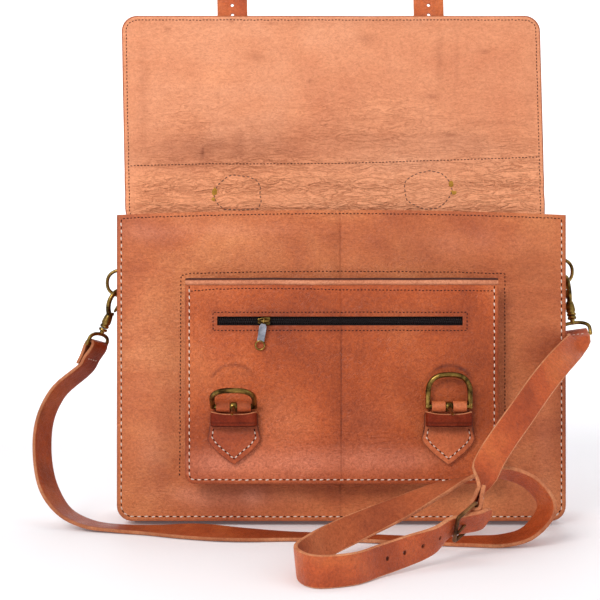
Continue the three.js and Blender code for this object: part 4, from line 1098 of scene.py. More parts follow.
def make_tab(side):
    x, bar = BUCKLE_X[side], buckle_bar(side)
    rows = spread(0, SHIELD[-1][0], 1, through=(4.2, 5.2, 26.5))

    def surface(column, drop):
        px, z = x + column * tab_reach(drop), BUCKLE_Z - drop
        return np.stack([px, pocket_y(px, z) - TAB["proud"] - tab_puff(column, drop), z], -1)

    shield = grid_sheet("shield", rows, np.linspace(-1, 1, 31), surface)
    pieces = [cut_leather(shield, FRONT, ["tab", "dark_edge"], 2.9, 0.55, 3)]
    for sign in (-1, 1):
        roll = tube(TAB["radius"], TAB["roll"] - TAB["slot"], 40)
        middle = Vector((x + sign * (TAB["roll"] + TAB["slot"]) / 2, bar[1], bar[2])) * 0.001
        roll.data.transform(Matrix.Translation(middle) @ ALONG_X)
        pieces.append(thicken(dress(roll, ["tab", "dark_edge"]), 1.9, 0.35))
    obj = joined(pieces, "tab_" + side)

    # Painted shade: a dark outline along the shield's edge below the roll, for its dyed edge and the shade
    # round it, a band just under the keeper, and uneven tone.
    def tab_shade_and_tone(px, py, pz):
        inside = tab_reach(BUCKLE_Z - pz) - np.abs(px - x)
        rim = 0.8 * hump(np.maximum(inside, 0), 0, 0.95) * (pz < BUCKLE_Z - 6)
        return rim + 0.25 * hump(pz, 84, 4) + 0.12 * cloud(px, pz, 9, 33)

    paint(obj, "dark", tab_shade_and_tone)
    return finished(obj, ["buckle_tab_" + side], angle=45)


for side in BUCKLE_X:
    print(side, "buckle bar at", np.round(buckle_bar(side), 1))

# %% [markdown]
# A darker keeper band crosses each tab, to hold the end of a closing strap. It bridges the tab in a flat
# arch, and its upper edge dips in the middle, where straps have been pushed through it.

# %% Keepers
KEEPER = {"width": 13, "drop": 11.9, "lift": 1.9, "dip": 0.9, "half": 17}
KEEPER_BEND = [(0, 10.8), (8, 10.7), (13.5, 10.4), (15.8, 10), (17.2, 9.2), (17.8, 8), (18, 6.2), (18, 3.6)]


# A painted shadow line along the band's lower edge, and a painted shade line in the groove across it.
def keeper_dark(x, y, z):
    return 0.9 * (1 - smooth(z, 87.7, 88.7)) + 0.5 * hump(z, 90.6, 0.7)


def make_keeper(side):
    x, z = BUCKLE_X[side], BUCKLE_Z - KEEPER["drop"]
    bend = curve_through([(-u, proud) for u, proud in KEEPER_BEND[:0:-1]] + KEEPER_BEND, 4)
    sag = np.array([1 - min(1, abs(u) / KEEPER["half"]) ** 3 for u, _ in bend])
    middles = [(x + u, float(pocket_y(x + u, z)) - proud, z + KEEPER["lift"] - KEEPER["dip"] * low)
               for (u, proud), low in zip(bend, sag)]
    section, looks = strap_section(KEEPER["width"], 2, 0.6, 17, 0.1)
    # The lower edge takes the band's dark face look, which also stands for the shade along it.
    looks[-5:] = [0] * 5  # the lower edge is dyed like the band's face
    obj = sweep("keeper_band_" + side, middles, [(0, 0, 1)] * len(bend), section, looks, 0.925 - 0.115 * sag)
    paint(dress(obj, ["keeper", "raw", "keeper"]), "dark", keeper_dark)
    return finished(obj, ["keeper_" + side], angle=45)


for side in BUCKLE_X:
    tab, keeper = make_tab(side), make_keeper(side)
    print(side, "tab", len(tab.data.polygons), "keeper", len(keeper.data.polygons), "faces")

# %% [markdown]
# Behind the flap, two closing straps are sewn on and reach past its edge, with a row of punched holes.
# The photograph shows only a short length of them above that edge, so the round tips are finished plainly.

# %% Closing straps
CLOSING = {"width": 27.5, "thickness": 2.5, "gap": 0.3, "foot": 373, "tip": 539}
CLOSING_X = {"left": -89.3, "right": 89.5}
CLOSING_HOLES = 452.5 + 9 * np.arange(7)


def make_closing_strap(side):
    x, run = CLOSING_X[side], CLOSING["width"] / 2
    middle_out = CLOSING["gap"] + CLOSING["thickness"] / 2
    heights = np.concatenate([np.linspace(CLOSING["foot"], CLOSING["tip"] - run, 48),
                              CLOSING["tip"] - run * (1 - np.sin(np.linspace(0, np.pi / 2, 14)[1:]))])
    share = np.clip((heights - CLOSING["tip"] + run) / run, 0, 0.995)
    middles = back_point(np.full(len(heights), x), heights, middle_out)
    middles[:, 1] += np.where(heights > FLAP["edge"], 0, 0.4)
    section, looks = strap_section(CLOSING["width"], CLOSING["thickness"], 0.6, 9)
    obj = sweep("closing_strap_" + side, middles, [(1.0, 0, 0)] * len(heights), section, looks,
                np.sqrt(1 - share ** 2))
    dress(obj, ["flesh", "raw", "strap"])
    places = back_point(np.full(len(CLOSING_HOLES), x), CLOSING_HOLES, middle_out)
    punch(obj, [(place, BACK) for place in places], 1.5)
    return finished(obj, ["flap_strap_" + side])


for side in CLOSING_X:
    closing = make_closing_strap(side)
    print(side, "closing strap", len(closing.data.polygons), "faces")

# %% [markdown]
# A rolled handle behind the flap is held by two round patches. The photograph shows only the patches' seams,
# so the handle is a plain arch of round section with a raised seam along it.

# %% Handle
PATCH_X, PATCH_Z, PATCH_RADIUS, PATCH_FACE = (-88.5, 84.2), 287, 19, 3.1
HANDLE = {"x": -5, "half": 87, "out": 36, "drop": 9, "radius": 6.8, "rise": 7}


def make_patch(x):
    """A round patch whose middle swells where the handle comes out of it."""
    patch = added(bpy.ops.mesh.primitive_circle_add, vertices=48, radius=PATCH_RADIUS, fill_type="NGON")
    bpy.ops.object.mode_set(mode="EDIT")
    bpy.ops.mesh.select_all(action="SELECT")
    for _ in range(6):
        bpy.ops.mesh.inset(thickness=2.7)
    bpy.ops.object.mode_set(mode="OBJECT")
    flat = points_of(patch)
    puff = 1.2 * hump(np.hypot(flat[:, 0], flat[:, 1]) / PATCH_RADIUS, 0, 0.5)
    lay(patch, back_point(x + flat[:, 0], PATCH_Z + flat[:, 1], PATCH_FACE + puff))
    return cut_leather(patch, BACK, ["strap", "raw"], 2.5)


def make_handle():
    patches = [make_patch(x) for x in PATCH_X]
    foot = float(back_y(float(HANDLE["x"]), float(PATCH_Z))) + 2.5
    arch = [(HANDLE["x"] + HANDLE["half"] * math.cos(a), foot + HANDLE["out"] * math.sin(a) ** 0.7,
             PATCH_Z - HANDLE["drop"] * math.sin(a) ** 0.7) for a in np.linspace(np.pi, 0, 9)[1:-1]]
    left, right = HANDLE["x"] - HANDLE["half"], HANDLE["x"] + HANDLE["half"]
    line = [(left, foot - 0.6, PATCH_Z), (left, foot + HANDLE["rise"], PATCH_Z), *arch,
            (right, foot + HANDLE["rise"], PATCH_Z), (right, foot - 0.6, PATCH_Z)]
    middles = curve_through(line, 9)
    turn = np.linspace(0, 2 * np.pi, 22, endpoint=False)
    seam = 0.5 * hump(turn, 1.5 * np.pi, 0.25)
    roll = np.stack([HANDLE["radius"] * np.cos(turn), HANDLE["radius"] * np.sin(turn) + seam], -1)
    swell = 1 + 0.02 * cloud(np.arange(len(middles)), np.zeros(len(middles)), 9, 41)
    bar = sweep("roll", middles, [(0.0, 0.12, 1.0)] * len(middles), roll, [0] * len(turn), swell)
    obj = joined([dress(bar, ["strap", "strap"]), *patches], "handle_leather")
    paint(obj, "dark", lambda x, y, z: 0.25 * hump(x, HANDLE["x"], 50) * (y > 60) + 0.1 * cloud(x, y, 12, 42))
    return finished(obj, ["handle"], angle=50)


handle_leather = make_handle()
print("handle", len(handle_leather.data.polygons), "faces")

# %% [markdown]
# A short leather loop on each side of the bag holds a D-ring. A snap hook hangs on the ring, and its
# swivel eye carries the end of the shoulder strap. Each fitting has its own place and turn, worked out
# here once for the metal and the leather.

# %% Places of the side fittings
SIDES = {
    "left": {"sign": -1, "z": 206, "out": 9, "axis": (0.4, 0, 0.917),
             "claw": (0.5, 0.86, -0.2), "bar": (0.418, 0.889, -0.185)},
    "right": {"sign": 1, "z": 216, "out": 13, "axis": (-0.1, 0.26, 0.96),
              "claw": (0.05, 0.96, -0.26), "bar": (0.965, -0.147, 0.14)},
}
SIDE_X = 184
RING = {"half": 11.5, "leg": 4, "rise": 14.5, "wire": 1.5}
HOOK_REACH = 31.5
EYE = {"half": 13.5, "leg": 4.5, "rise": 6.5, "wire": 1.6}
EYE_DROP = 17
RING_TAB_BEND = [(0, 1), (0.1, 0.96), (0.16, 0.82), (0.22, 0.58), (0.3, 0.28), (0.42, 0.06), (0.6, 0), (1, 0)]


def turned(origin, x_axis, z_axis):
    """A matrix in metres whose own X and Z lie along the given directions, at a place in millimetres."""
    up = unit(z_axis)
    across = unit(np.asarray(x_axis, float) - up * np.dot(up, x_axis))
    basis = np.column_stack([across, np.cross(up, across), up])
    placed = Matrix(basis.tolist()).to_4x4()
    placed.translation = Vector(origin) * 0.001
    return placed


def fittings(side):
    facts = SIDES[side]
    sign, z, out = facts["sign"], facts["z"], facts["out"]
    bar_x = SIDE_X + 0.6 + RING["wire"]
    drop = RING["half"] * math.sqrt(1 - ((out - RING["leg"]) / RING["rise"]) ** 2)
    up = unit(facts["axis"])
    foot = np.array([sign * (bar_x + out), 0, z - drop]) - up * HOOK_REACH
    ring = turned((sign * bar_x, 0, z), (0, 0, 1), (sign, 0, 0))
    hook = turned(foot, facts["claw"], up)
    eye = turned(foot, facts["bar"], up)
    across = np.array(eye.to_3x3().col[0])
    return {"ring": ring, "hook": hook, "eye": eye, "bar": foot - up * EYE_DROP, "across": across}


def make_ring_tab(side):
    sign, z = SIDES[side]["sign"], SIDES[side]["z"]
    bend = [(-s, h) for s, h in RING_TAB_BEND[:0:-1]] + RING_TAB_BEND
    line = curve_through([(sign * (SIDE_X + 1.3 + h * 3.9), 20 * s, z) for s, h in bend], 4)
    section, looks = strap_section(18, 2, 0.5, 7)
    obj = sweep("ring_loop_" + side, line, [(0, 0, 1.0)] * len(line), section, looks)
    return finished(dress(obj, ["strap", "raw", "strap"]), ["ring_tab_" + side])


PLACES = {side: fittings(side) for side in SIDES}
for side, place in PLACES.items():
    make_ring_tab(side)
    print(side, "eye bar at", np.round(place["bar"], 1))

# %% [markdown]
# The shoulder strap is two pieces. The long one leaves the left hook, drops to the table, runs along it,
# arches up and back over itself at the right and turns round to the strap's buckle. The short one comes
# down from the right hook to that buckle. Both ends are folded round a bar and sewn.
# Each row of a route is a place on the strap's middle line and the direction across the strap there.

# %% Routes of the shoulder strap
STRAP = {"width": 22, "thickness": 3, "tail": 20, "gap": 1.8, "steps": 6}
STRAP_LOOKS = ["strap", "raw", "flesh"]
HOLE_STEPS = (17.5, 35, 52.5, 70)
LONG_ROUTE = [
    (-229, -6, 131, 0.45, 0.88, -0.1), (-245, -12, 111, 0.45, 0.88, -0.1), (-255, -20, 88, 0.45, 0.88, 0),
    (-255.5, -29, 59, 0.45, 0.88, 0), (-248, -39, 32, 0.4, 0.9, 0.1), (-233, -48, 13.5, 0.3, 0.95, 0),
    (-211, -57, 4.6, 0.25, 0.96, 0), (-185, -64, 2.4, 0.2, 0.97, 0), (-155, -74, 3, 0.3, 0.95, 0.1),
    (-123, -90, 5.2, 0.3, 0.9, 0.3), (-88, -100, 4.8, 0, 0.97, 0.25), (-43, -97, 2.4, 0, 1, 0.05),
    (3, -100, 2, 0.1, 1, 0), (41, -108, 2, 0.2, 0.98, 0), (73, -114, 2, 0.1, 0.99, 0),
    (100, -119, 3, 0.05, 0.98, 0.1), (124, -122, 4.2, -0.1, 0.97, 0.15), (143, -122, 10.5, -0.25, 0.95, 0.1),
    (157, -121, 30, -0.45, 0.89, 0), (147, -118, 47, -0.35, 0.87, -0.35), (125, -116, 56, 0, 0.86, -0.5),
    (100, -119, 53.5, 0.1, 0.97, -0.2), (73, -127, 45, 0, 0.95, 0.25), (41, -143, 33, -0.1, 0.8, 0.55),
    (2, -167, 21, -0.1, 0.55, 0.82), (-24, -195, 14, -0.15, 0.25, 0.95), (-37, -230, 11.6, -0.1, 0, 1),
    (-25, -258, 11.4, 0, 0, 1), (0, -251, 11.4, 0, 0, 1), (21, -226, 12, 0, 0.05, 1),
    (40, -209, 14.5, 0, 0, 1), (61, -194, 19, 0, -0.35, 0.93),
]
SHORT_ROUTE = [
    (201, -27, 157, 0.9, -0.05, -0.3), (198.5, -39, 153.5, 0.55, 0.05, -0.83),
    (189, -55, 147.5, 0.55, -0.1, -0.82), (176, -71, 138, 0.68, -0.1, -0.72),
    (158, -90, 121.5, 0.72, -0.1, -0.67), (138, -110, 100, 0.72, -0.12, -0.65),
    (120, -128, 81, 0.68, -0.2, -0.68), (108, -141, 66, 0.5, -0.4, -0.72),
]
print(len(LONG_ROUTE), "and", len(SHORT_ROUTE), "places on the strap's routes")

# %% [markdown]
# The strap's buckle is threaded, so its place and turn are needed before the strap is made. A strap's end
# goes round a bar and back along itself, and the long strap's tongue slopes up through the buckle.

# %% Ends of the shoulder strap
CLASP = {"length": 20.8, "half": 13.8, "wire": 1.5, "corner": 2.2, "prong": 1.1}
CLASP_RUN = unit((0.71, 0.52, 0.465))
CLASP_ACROSS = unit((0.0125, -0.675, 0.739))
CLASP_ALONG = unit(CLASP_RUN - CLASP_ACROSS * np.dot(CLASP_ACROSS, CLASP_RUN))
CLASP_FACE = np.cross(CLASP_ALONG, CLASP_ACROSS)
CLASP_FAR = np.array([78.5, -180, 23.6])
CLASP_HEEL = CLASP_FAR + CLASP_ALONG * CLASP["length"]
TONGUE = ((0, -4.1), (0.5, 1.55), (1, 7.2), (1 + 9 / CLASP["length"], 7.6))


def on_clasp(share, proud):
    return CLASP_FAR + CLASP_ALONG * share * CLASP["length"] + CLASP_FACE * proud


def fold_round(bar, across, away, wire):
    """The strap's end up one side of a bar, over it, and away on the other side."""
    lift = wire + 0.3 + STRAP["thickness"] / 2 + 0.1
    out = unit(away - across * np.dot(across, away))
    aside = np.cross(out, across)
    apart, tail = STRAP["gap"], STRAP["tail"]
    bend = [(-lift * math.sin(a), lift * math.cos(a)) for a in np.radians((150, 110, 70, 30))]
    steps = [(tail, -apart), (tail * 0.6, -apart - 0.2), (2, -lift), *bend,
             (2, lift), (tail * 0.6, apart + 0.2), (tail, apart)]
    return [(bar + out * a + aside * b, across) for a, b in steps]


def from_eye(side, route):
    """The fold round a swivel eye, and the route that leaves it."""
    eye = PLACES[side]
    points = [(np.array(row[:3], float), unit(row[3:])) for row in route]
    return fold_round(eye["bar"], eye["across"], unit(points[0][0] - eye["bar"]), EYE["wire"]) + points[1:]


def long_points():
    return from_eye("left", LONG_ROUTE) + [(on_clasp(share, proud), CLASP_ACROSS) for share, proud in TONGUE]


def short_points():
    points = from_eye("right", SHORT_ROUTE)
    end = fold_round(CLASP_HEEL, -CLASP_ACROSS, points[-1][0] - CLASP_HEEL, CLASP["wire"])[::-1]
    return points + end


print("buckle's heel bar at", np.round(CLASP_HEEL, 1))

# %% [markdown]
# The strap's section is carried along its route, and the tongue is narrowed to a tip and punched with holes
# at even steps. Towards the left, near the bag, the strap is painted darker for the shade there.

# %% Shoulder strap
def lengths_of(line):
    """How far along a line each of its places is."""
    return np.concatenate([[0], np.cumsum(np.linalg.norm(np.diff(line, axis=0), axis=1))])


def hole_places(line, across, back_from, steps):
    """Places along a strap at the given distances back from a station, with the way through it."""
    run, sideways = line[:back_from + 1][::-1], across[:back_from + 1][::-1]
    lengths = lengths_of(run)
    found = []
    for step in steps:
        i = int(np.searchsorted(lengths, step))
        share = (step - lengths[i - 1]) / (lengths[i] - lengths[i - 1])
        middle = run[i - 1] + (run[i] - run[i - 1]) * share
        found.append((middle, np.cross(run[i - 1] - run[i], sideways[i])))
    return found


def strap_dark(x, y, z):
    # Painted shade on the strap near the bag towards the left, and uneven tone.
    shade_near_bag = 0.38 * (1 - smooth(x, -90, 60)) * smooth(y, -160, -120)
    return shade_near_bag + 0.22 * smooth(cloud(x + y, z, 24, 52), 0, 1) + 0.1 * cloud(x, y + z, 7, 53)


def make_strap(name, points, node_name, pointed=False):
    """A strap along points, and where it is pointed, with a tip and a row of holes."""
    steps = STRAP["steps"]
    line, across = (curve_through(values, steps) for values in zip(*points))
    section, sides = strap_section(STRAP["width"], STRAP["thickness"], 0.8, 9, 0.1)
    width = 1 + 0.012 * cloud(np.arange(len(line)), np.zeros(len(line)), 7, 51)
    if pointed:
        width[-steps:] *= np.sqrt(np.linspace(1, 0.22, steps))
    obj = dress(sweep(name, line, across, section, sides, width), STRAP_LOOKS)
    if pointed:
        punch(obj, hole_places(line, across, len(line) - 1 - 3 * steps, HOLE_STEPS), 1.7)
    paint(obj, "dark", strap_dark)
    return finished(obj, [node_name], angle=45)


strap_long = make_strap("shoulder_strap_long", long_points(), "strap_long", pointed=True)
strap_short = make_strap("shoulder_strap_short", short_points(), "strap_short")
print("shoulder strap", len(strap_long.data.polygons), "and", len(strap_short.data.polygons), "faces")

# %% [markdown]
# Buckle frames, D-rings and swivel eyes are bent from round brass wire: a straight bar with an arch over
# it. A curve is drawn up one leg, over the arch and down the other, and given a round section. A bar with
# rounded ends closes it.

# %% Bent wire
def bar_piece(half, radius):
    bar = added(bpy.ops.mesh.primitive_cylinder_add, vertices=18, radius=radius * 0.001,
                depth=2 * half * 0.001)
    bar.data.transform(ALONG_X)
    ends = bar.modifiers.new("ends", "BEVEL")
    ends.width = 0.55 * radius * 0.001
    ends.segments = 3
    ends.angle_limit = math.radians(60)
    return apply_all(bar)


def wire_along(name, points, radius, taper=None, closed=False):
    """A round wire along points in millimetres, with a share of the radius at each."""
    curve = bpy.data.curves.new(name, "CURVE")
    curve.dimensions = "3D"
    spline = curve.splines.new("POLY")
    spline.points.add(len(points) - 1)
    taper = [1.0] * len(points) if taper is None else taper
    for point, place, share in zip(spline.points, points, taper):
        point.co = (*(np.asarray(place, float) * 0.001), 1)
        point.radius = float(share)
    spline.use_cyclic_u = closed
    curve.bevel_depth = radius * 0.001
    curve.bevel_resolution = 5
    curve.use_fill_caps = not closed
    linked(name, curve)
    bpy.ops.object.convert(target="MESH")
    return bpy.context.object


def arched_wire(name, half, leg, rise, wire, square=2.3):
    """An arch of wire on two legs, whose shoulders are a little squarer than a circle's, over a bar."""
    line = [(half, 0, z) for z in np.linspace(0, leg, 4)[:-1]]
    for angle in np.linspace(0, np.pi, 33):
        across, up = math.cos(angle), math.sin(angle)
        line.append((half * squared(across, 2 / square), 0, leg + rise * up ** (2 / square)))
    line += [(-half, 0, z) for z in np.linspace(leg, 0, 4)[1:]]
    return joined([wire_along("arch", line, wire), bar_piece(half + wire * 0.9, wire)], name)


def lathed(name, profile):
    """A turned piece from a profile of radius and height in millimetres, spun round its own Z."""
    edges = [(i, i + 1) for i in range(len(profile) - 1)]
    obj = from_places(name, [(radius, 0, height) for radius, height in profile], [], edges)
    turn = obj.modifiers.new("turn", "SCREW")
    turn.angle = 2 * math.pi
    turn.steps = turn.render_steps = 28
    turn.use_merge_vertices = True
    turn.merge_threshold = 0.00002
    return on_all_faces(apply_all(obj), bpy.ops.mesh.normals_make_consistent, inside=False)


def metal_piece(obj, place, look, nodes, body="bag"):
    """Puts a metal piece in its place, in one metal unless its parts already have their own."""
    obj.data.transform(place)
    if look:
        obj.data.materials.clear()
        dress(obj, [look])
    return finished(obj, nodes, body, angle=38)


# %% [markdown]
# The two pocket buckles are loose: the right frame lies against the pocket and the left one has swung
# out, as in the photograph. Each prong is a flat brass strip curled round the bar and drawn out to a pin
# with a rounded point.

# %% Pocket buckles
FRAME = {"half": 17.25, "leg": 9.25, "rise": 17.25, "wire": 2.2, "square": 2.7}
SWING = {"left": 56, "right": 6}
PRONG_SWING = 100


def turned_out(degrees):
    return Matrix.Rotation(math.radians(degrees), 4, "X")


def make_prong(side):
    curl = tube(4, 4.6, 36)
    curl.data.transform(ALONG_X)
    thicken(outward(curl, lambda c: Vector((0, c.y, c.z))), 1.3, 0.4, 2, 0)
    line = curve_through([(0, 0, 3.1), (0, 0, 9), (0, 0.1, 17), (0, 0.8, 28)], 8)
    share = np.concatenate([np.linspace(1.15, 1, 8), np.linspace(1, 0.85, 14), [0.78, 0.6, 0.25]])
    return joined([wire_along("pin", line, 1.6, share), curl], "prong_" + side)


for side in SWING:
    at = Matrix.Translation(Vector(buckle_bar(side)) * 0.001)
    frame_piece = metal_piece(arched_wire("frame_" + side, **FRAME), at @ turned_out(SWING[side]), "brass",
                              ["buckle_frame_" + side], "frame_" + side)
    prong = metal_piece(make_prong(side), at @ turned_out(PRONG_SWING), "brass",
                        ["buckle_prong_" + side], "prong_" + side)
    print(side, "frame", len(frame_piece.data.polygons), "prong", len(prong.data.polygons), "faces")

# %% [markdown]
# A trigger snap hook is cast in one piece: a turned barrel, a claw that curves over the ring, and a short
# shoulder. A sprung gate stands on the shoulder and closes the claw. The barrel turns on the neck of the
# swivel eye. The claw is a wire that thins towards its tip.

# %% Rings, hooks, gates and swivel eyes
BARREL = [(0, 0), (2.4, 0), (3.2, 0.25), (3.9, 1), (4, 2.2), (3.5, 2.9), (3.3, 3.4), (3.5, 3.9), (4, 4.6),
          (4, 6.4), (3.8, 9), (3.4, 11.4), (2.9, 13), (2, 13.8), (0, 14)]
COLLAR = [(0, -7.4), (1.7, -7.4), (2, -7), (2, -3.3), (2.5, -2.9), (3.4, -2.7), (3.8, -2.2), (3.8, -0.9),
          (3.5, -0.4), (0, -0.3)]
CLAW = [(0, 12), (-5.4, 18.5), (-7.5, 25), (-5.4, 32.5), (0, 36), (5.2, 33.4), (7.2, 29), (6.9, 26.8)]
CLAW_TAPER = [(0, 1.15), (0.2, 1.05), (0.6, 1), (0.9, 0.85), (0.97, 0.75), (1, 0.45)]
SHOULDER = [(0, 11), (2.2, 13), (4.3, 15)]
GATE = [(4.5, 16.2), (5.55, 21.1), (6.6, 26)]


def upright(points, steps):
    return curve_through([(x, 0, z) for x, z in points], steps)


def make_hook(side):
    line = upright(CLAW, 7)
    share = np.interp(np.linspace(0, 1, len(line)), *np.array(CLAW_TAPER).T)
    claw = wire_along("claw", line, 2, share)
    shoulder = wire_along("shoulder", upright(SHOULDER, 4), 2, [1, 1, 1, 1, 1, 0.95, 0.85, 0.65, 0.4])
    return joined([lathed("barrel", BARREL), claw, shoulder], "snap_hook_" + side)


def make_eye(side):
    loop = arched_wire("loop", **EYE)
    loop.data.transform(Matrix.Translation((0, 0, -0.001 * EYE_DROP)))
    return joined([loop, lathed("neck", COLLAR)], "swivel_" + side)


for side, place in PLACES.items():
    metal_piece(arched_wire("ring_" + side, **RING), place["ring"], "brass", ["d_ring_" + side])
    hook = metal_piece(make_hook(side), place["hook"], "brass", ["hook_" + side])
    lever = wire_along("gate_lever_" + side, upright(GATE, 6), 1.3, [0.45, 0.8] + [1] * 8 + [0.95, 0.8, 0.5])
    metal_piece(lever, place["hook"], "brass", ["hook_gate_" + side], "gate_" + side)
    metal_piece(make_eye(side), place["eye"], "brass", ["swivel_eye_" + side])
    print(side, "hook", len(hook.data.polygons), "faces")

# %% [markdown]
# The strap's own buckle is a plain rectangle of bronze wire. The short strap is folded round its heel bar,
# the long strap's tongue comes up through it, and a thin prong passes through one of the tongue's holes.

# %% Strap buckle
def make_clasp():
    length, half, corner = CLASP["length"] / 2, CLASP["half"], CLASP["corner"]
    outline = []
    for cx, cz, start in ((1, -1, -90), (1, 1, 0), (-1, 1, 90), (-1, -1, 180)):
        x, z = cx * (length - corner), cz * (half - corner)
        for angle in np.radians(start + np.linspace(0, 90, 7)):
            outline.append((x + corner * math.cos(angle), 0, z + corner * math.sin(angle)))
    loop = wire_along("strap_clasp", outline, CLASP["wire"], closed=True)
    place = turned(on_clasp(0.5, 0), CLASP_ALONG, CLASP_ACROSS)
    return metal_piece(loop, place, "bronze", ["strap_buckle"])


def make_clasp_prong():
    curl = tube(3.1, 4, 28)
    thicken(outward(curl, lambda c: Vector((c.x, c.y, 0))), 1.3, 0.3, 2, 0)
    basis = Matrix(np.column_stack([CLASP_ALONG, CLASP_FACE, CLASP_ACROSS]).tolist()).to_4x4()
    basis.translation = Vector(CLASP_HEEL) * 0.001
    curl.data.transform(basis)
    start, end = on_clasp(1.05, -0.1), on_clasp(-0.12, 2.9)
    first = start + (end - start) * (2.6 / CLASP["length"] + 0.04)
    line = [first + (end - first) * t for t in np.linspace(0, 1, 10)]
    pin = wire_along("pin", line, CLASP["prong"], [1] * 7 + [0.95, 0.85, 0.5])
    return metal_piece(joined([pin, curl], "clasp_prong"), Matrix.Identity(4), "bronze", ["strap_prong"])


clasp, clasp_prong = make_clasp(), make_clasp_prong()
print("strap buckle", len(clasp.data.polygons) + len(clasp_prong.data.polygons), "faces")

# %% [markdown]
# The zip is black: two woven tapes behind the window and a nylon coil between them. One tooth of the coil
# is shaped and repeated along both sides, half a pitch apart and leaning against each other.

# %% Zip
TAPE_OVERLAP = 4
TOOTH_PITCH = 1.55
TOOTH_LEAN = 9


def repeated(name, shape, places, frames):
    """Copies of one shape, each at a place with its own frame of three directions, as one piece."""
    verts, faces = shape
    moved_verts = np.einsum("nij,kj->nki", frames, verts) + np.asarray(places)[:, None]
    steps = np.arange(len(places))[:, None, None] * len(verts)
    all_faces = (faces[None] + steps).reshape(-1, faces.shape[1])
    obj = from_places(name, moved_verts.reshape(-1, 3), all_faces.tolist())
    bpy.ops.object.shade_smooth()
    return obj


def bead(length, width, height, dip=0.0):
    """A rounded bead along X, whose ends dip, as places in millimetres and four-sided faces."""
    obj = added(bpy.ops.mesh.primitive_cylinder_add, vertices=8, radius=1, depth=2, end_fill_type="NOTHING")
    obj.data.transform(ALONG_X)
    for place in (-0.45, 0.45, 0):
        on_all_faces(obj, bpy.ops.mesh.bisect, plane_co=(place, 0, 0), plane_no=(1, 0, 0))
    x, y, z = points_of(obj).T
    faces = np.array([list(f.vertices) for f in obj.data.polygons])
    bpy.data.objects.remove(obj)
    share = np.clip(1 - np.abs(x) ** 3, 0.02, 1) ** 0.6
    shaped = np.stack([x * length / 2, y * share * width / 2, z * share * height / 2 - dip * x ** 2], -1)
    return shaped, faces


def make_tape():
    columns = np.linspace(ZIP["left"] - TAPE_OVERLAP, ZIP["right"] + TAPE_OVERLAP, 60)
    rows = np.linspace(ZIP["bottom"] - TAPE_OVERLAP, ZIP["top"] + TAPE_OVERLAP, 9)
    obj = grid_sheet("zip_tapes", rows, columns, lambda x, z: np.stack([x, pocket_y(x, z) + 2.8, z], -1))
    thicken(dress(outward(obj, FRONT), ["zip"]), 1, 0, rim=0)
    return finished(obj, ["zip_tape"], angle=None)


def make_coil():
    x = np.arange(ZIP["left"] + 1.2, ZIP["right"] - 1, TOOTH_PITCH)
    places, frames = [], []
    for row, sign in enumerate((1, -1)):
        px = x + TOOTH_PITCH / 2 * row
        z = np.full(len(px), (ZIP["bottom"] + ZIP["top"]) / 2 + sign)
        places.append(np.stack([px, pocket_y(px, z) + 1.8, z], -1))
        lean = np.radians(90 - sign * TOOTH_LEAN)
        tooth = [[math.cos(lean), math.sin(lean), 0], [0, 0, -1], [math.sin(lean), -math.cos(lean), 0]]
        frames.append(np.tile(tooth, (len(px), 1, 1)))
    coil = repeated("zip_coil", bead(3.0, 1.25, 1.9), np.vstack(places), np.vstack(frames))
    return finished(dress(coil, ["coil"]), angle=None)


tape, coil = make_tape(), make_coil()
print("zip tape", len(tape.data.polygons), "coil", len(coil.data.polygons), "faces")

# %% [markdown]
# The slider is a small cast body with a bridge over it, and the pull is a stamped plate with a raised rim
# and an open ring at its end. A plate is drawn as one flat face, extruded, inset for its rim, and bevelled.

# %% Slider and pull
SLIDER_AT = np.array([-64.7, -64.8588, 173.7])
SLIDER_OUTLINE = [(-5, 1.86), (-5, -1.86), (1, -2.9), (5, -2.9), (5, 2.9), (1, 2.9)]
BRIDGE_OUT = 5.6
BRIDGE = [(-4.1, -1.6, 0), (-4.1, -4.7, 0), (-2.9, -BRIDGE_OUT, 0), (2.9, -BRIDGE_OUT, 0), (4.1, -4.7, 0),
          (4.1, -1.6, 0)]
PULL_OUTLINE = [(-1.65, -2.3), (1.65, -2.3), (3, -4.5), (3, -16.6), (1.6, -17.4), (-1.6, -17.4), (-3, -16.6),
                (-3, -4.5)]
PULL_LEAN = math.radians(9)


def plate(name, outline, front, back, bevel):
    """A flat plate from an outline in X and Z, from a front Y to a back Y, with a rim and rounded edges."""
    obj = from_places(name, [(x, back, z) for x, z in outline], [list(range(len(outline)))])
    bpy.ops.object.mode_set(mode="EDIT")
    bpy.ops.mesh.select_all(action="SELECT")
    bpy.ops.mesh.extrude_region_move(TRANSFORM_OT_translate={"value": (0, (front - back) * 0.001, 0)})
    bpy.ops.mesh.inset(thickness=bevel * 0.0012)
    bpy.ops.mesh.extrude_region_move(TRANSFORM_OT_translate={"value": (0, 0.00018, 0)})
    on_all_faces(obj, bpy.ops.mesh.normals_make_consistent, inside=False)
    edge = obj.modifiers.new("edge", "BEVEL")
    edge.width = bevel * 0.0005
    edge.segments = 2
    edge.angle_limit = math.radians(50)
    return apply_all(obj)


def torus(ring, wire, place):
    obj = added(bpy.ops.mesh.primitive_torus_add, major_segments=32, minor_segments=12,
                major_radius=ring * 0.001, minor_radius=wire * 0.001)
    obj.data.transform(place)
    return obj


def make_slider():
    body = plate("slider_body", SLIDER_OUTLINE, -2.5, 0.4, 0.7)
    obj = joined([body, wire_along("bridge", curve_through(BRIDGE, 6), 0.88)], "slider")
    place = Matrix.Translation(Vector(SLIDER_AT) * 0.001)
    return metal_piece(obj, place, "brass", ["zip_slider"])


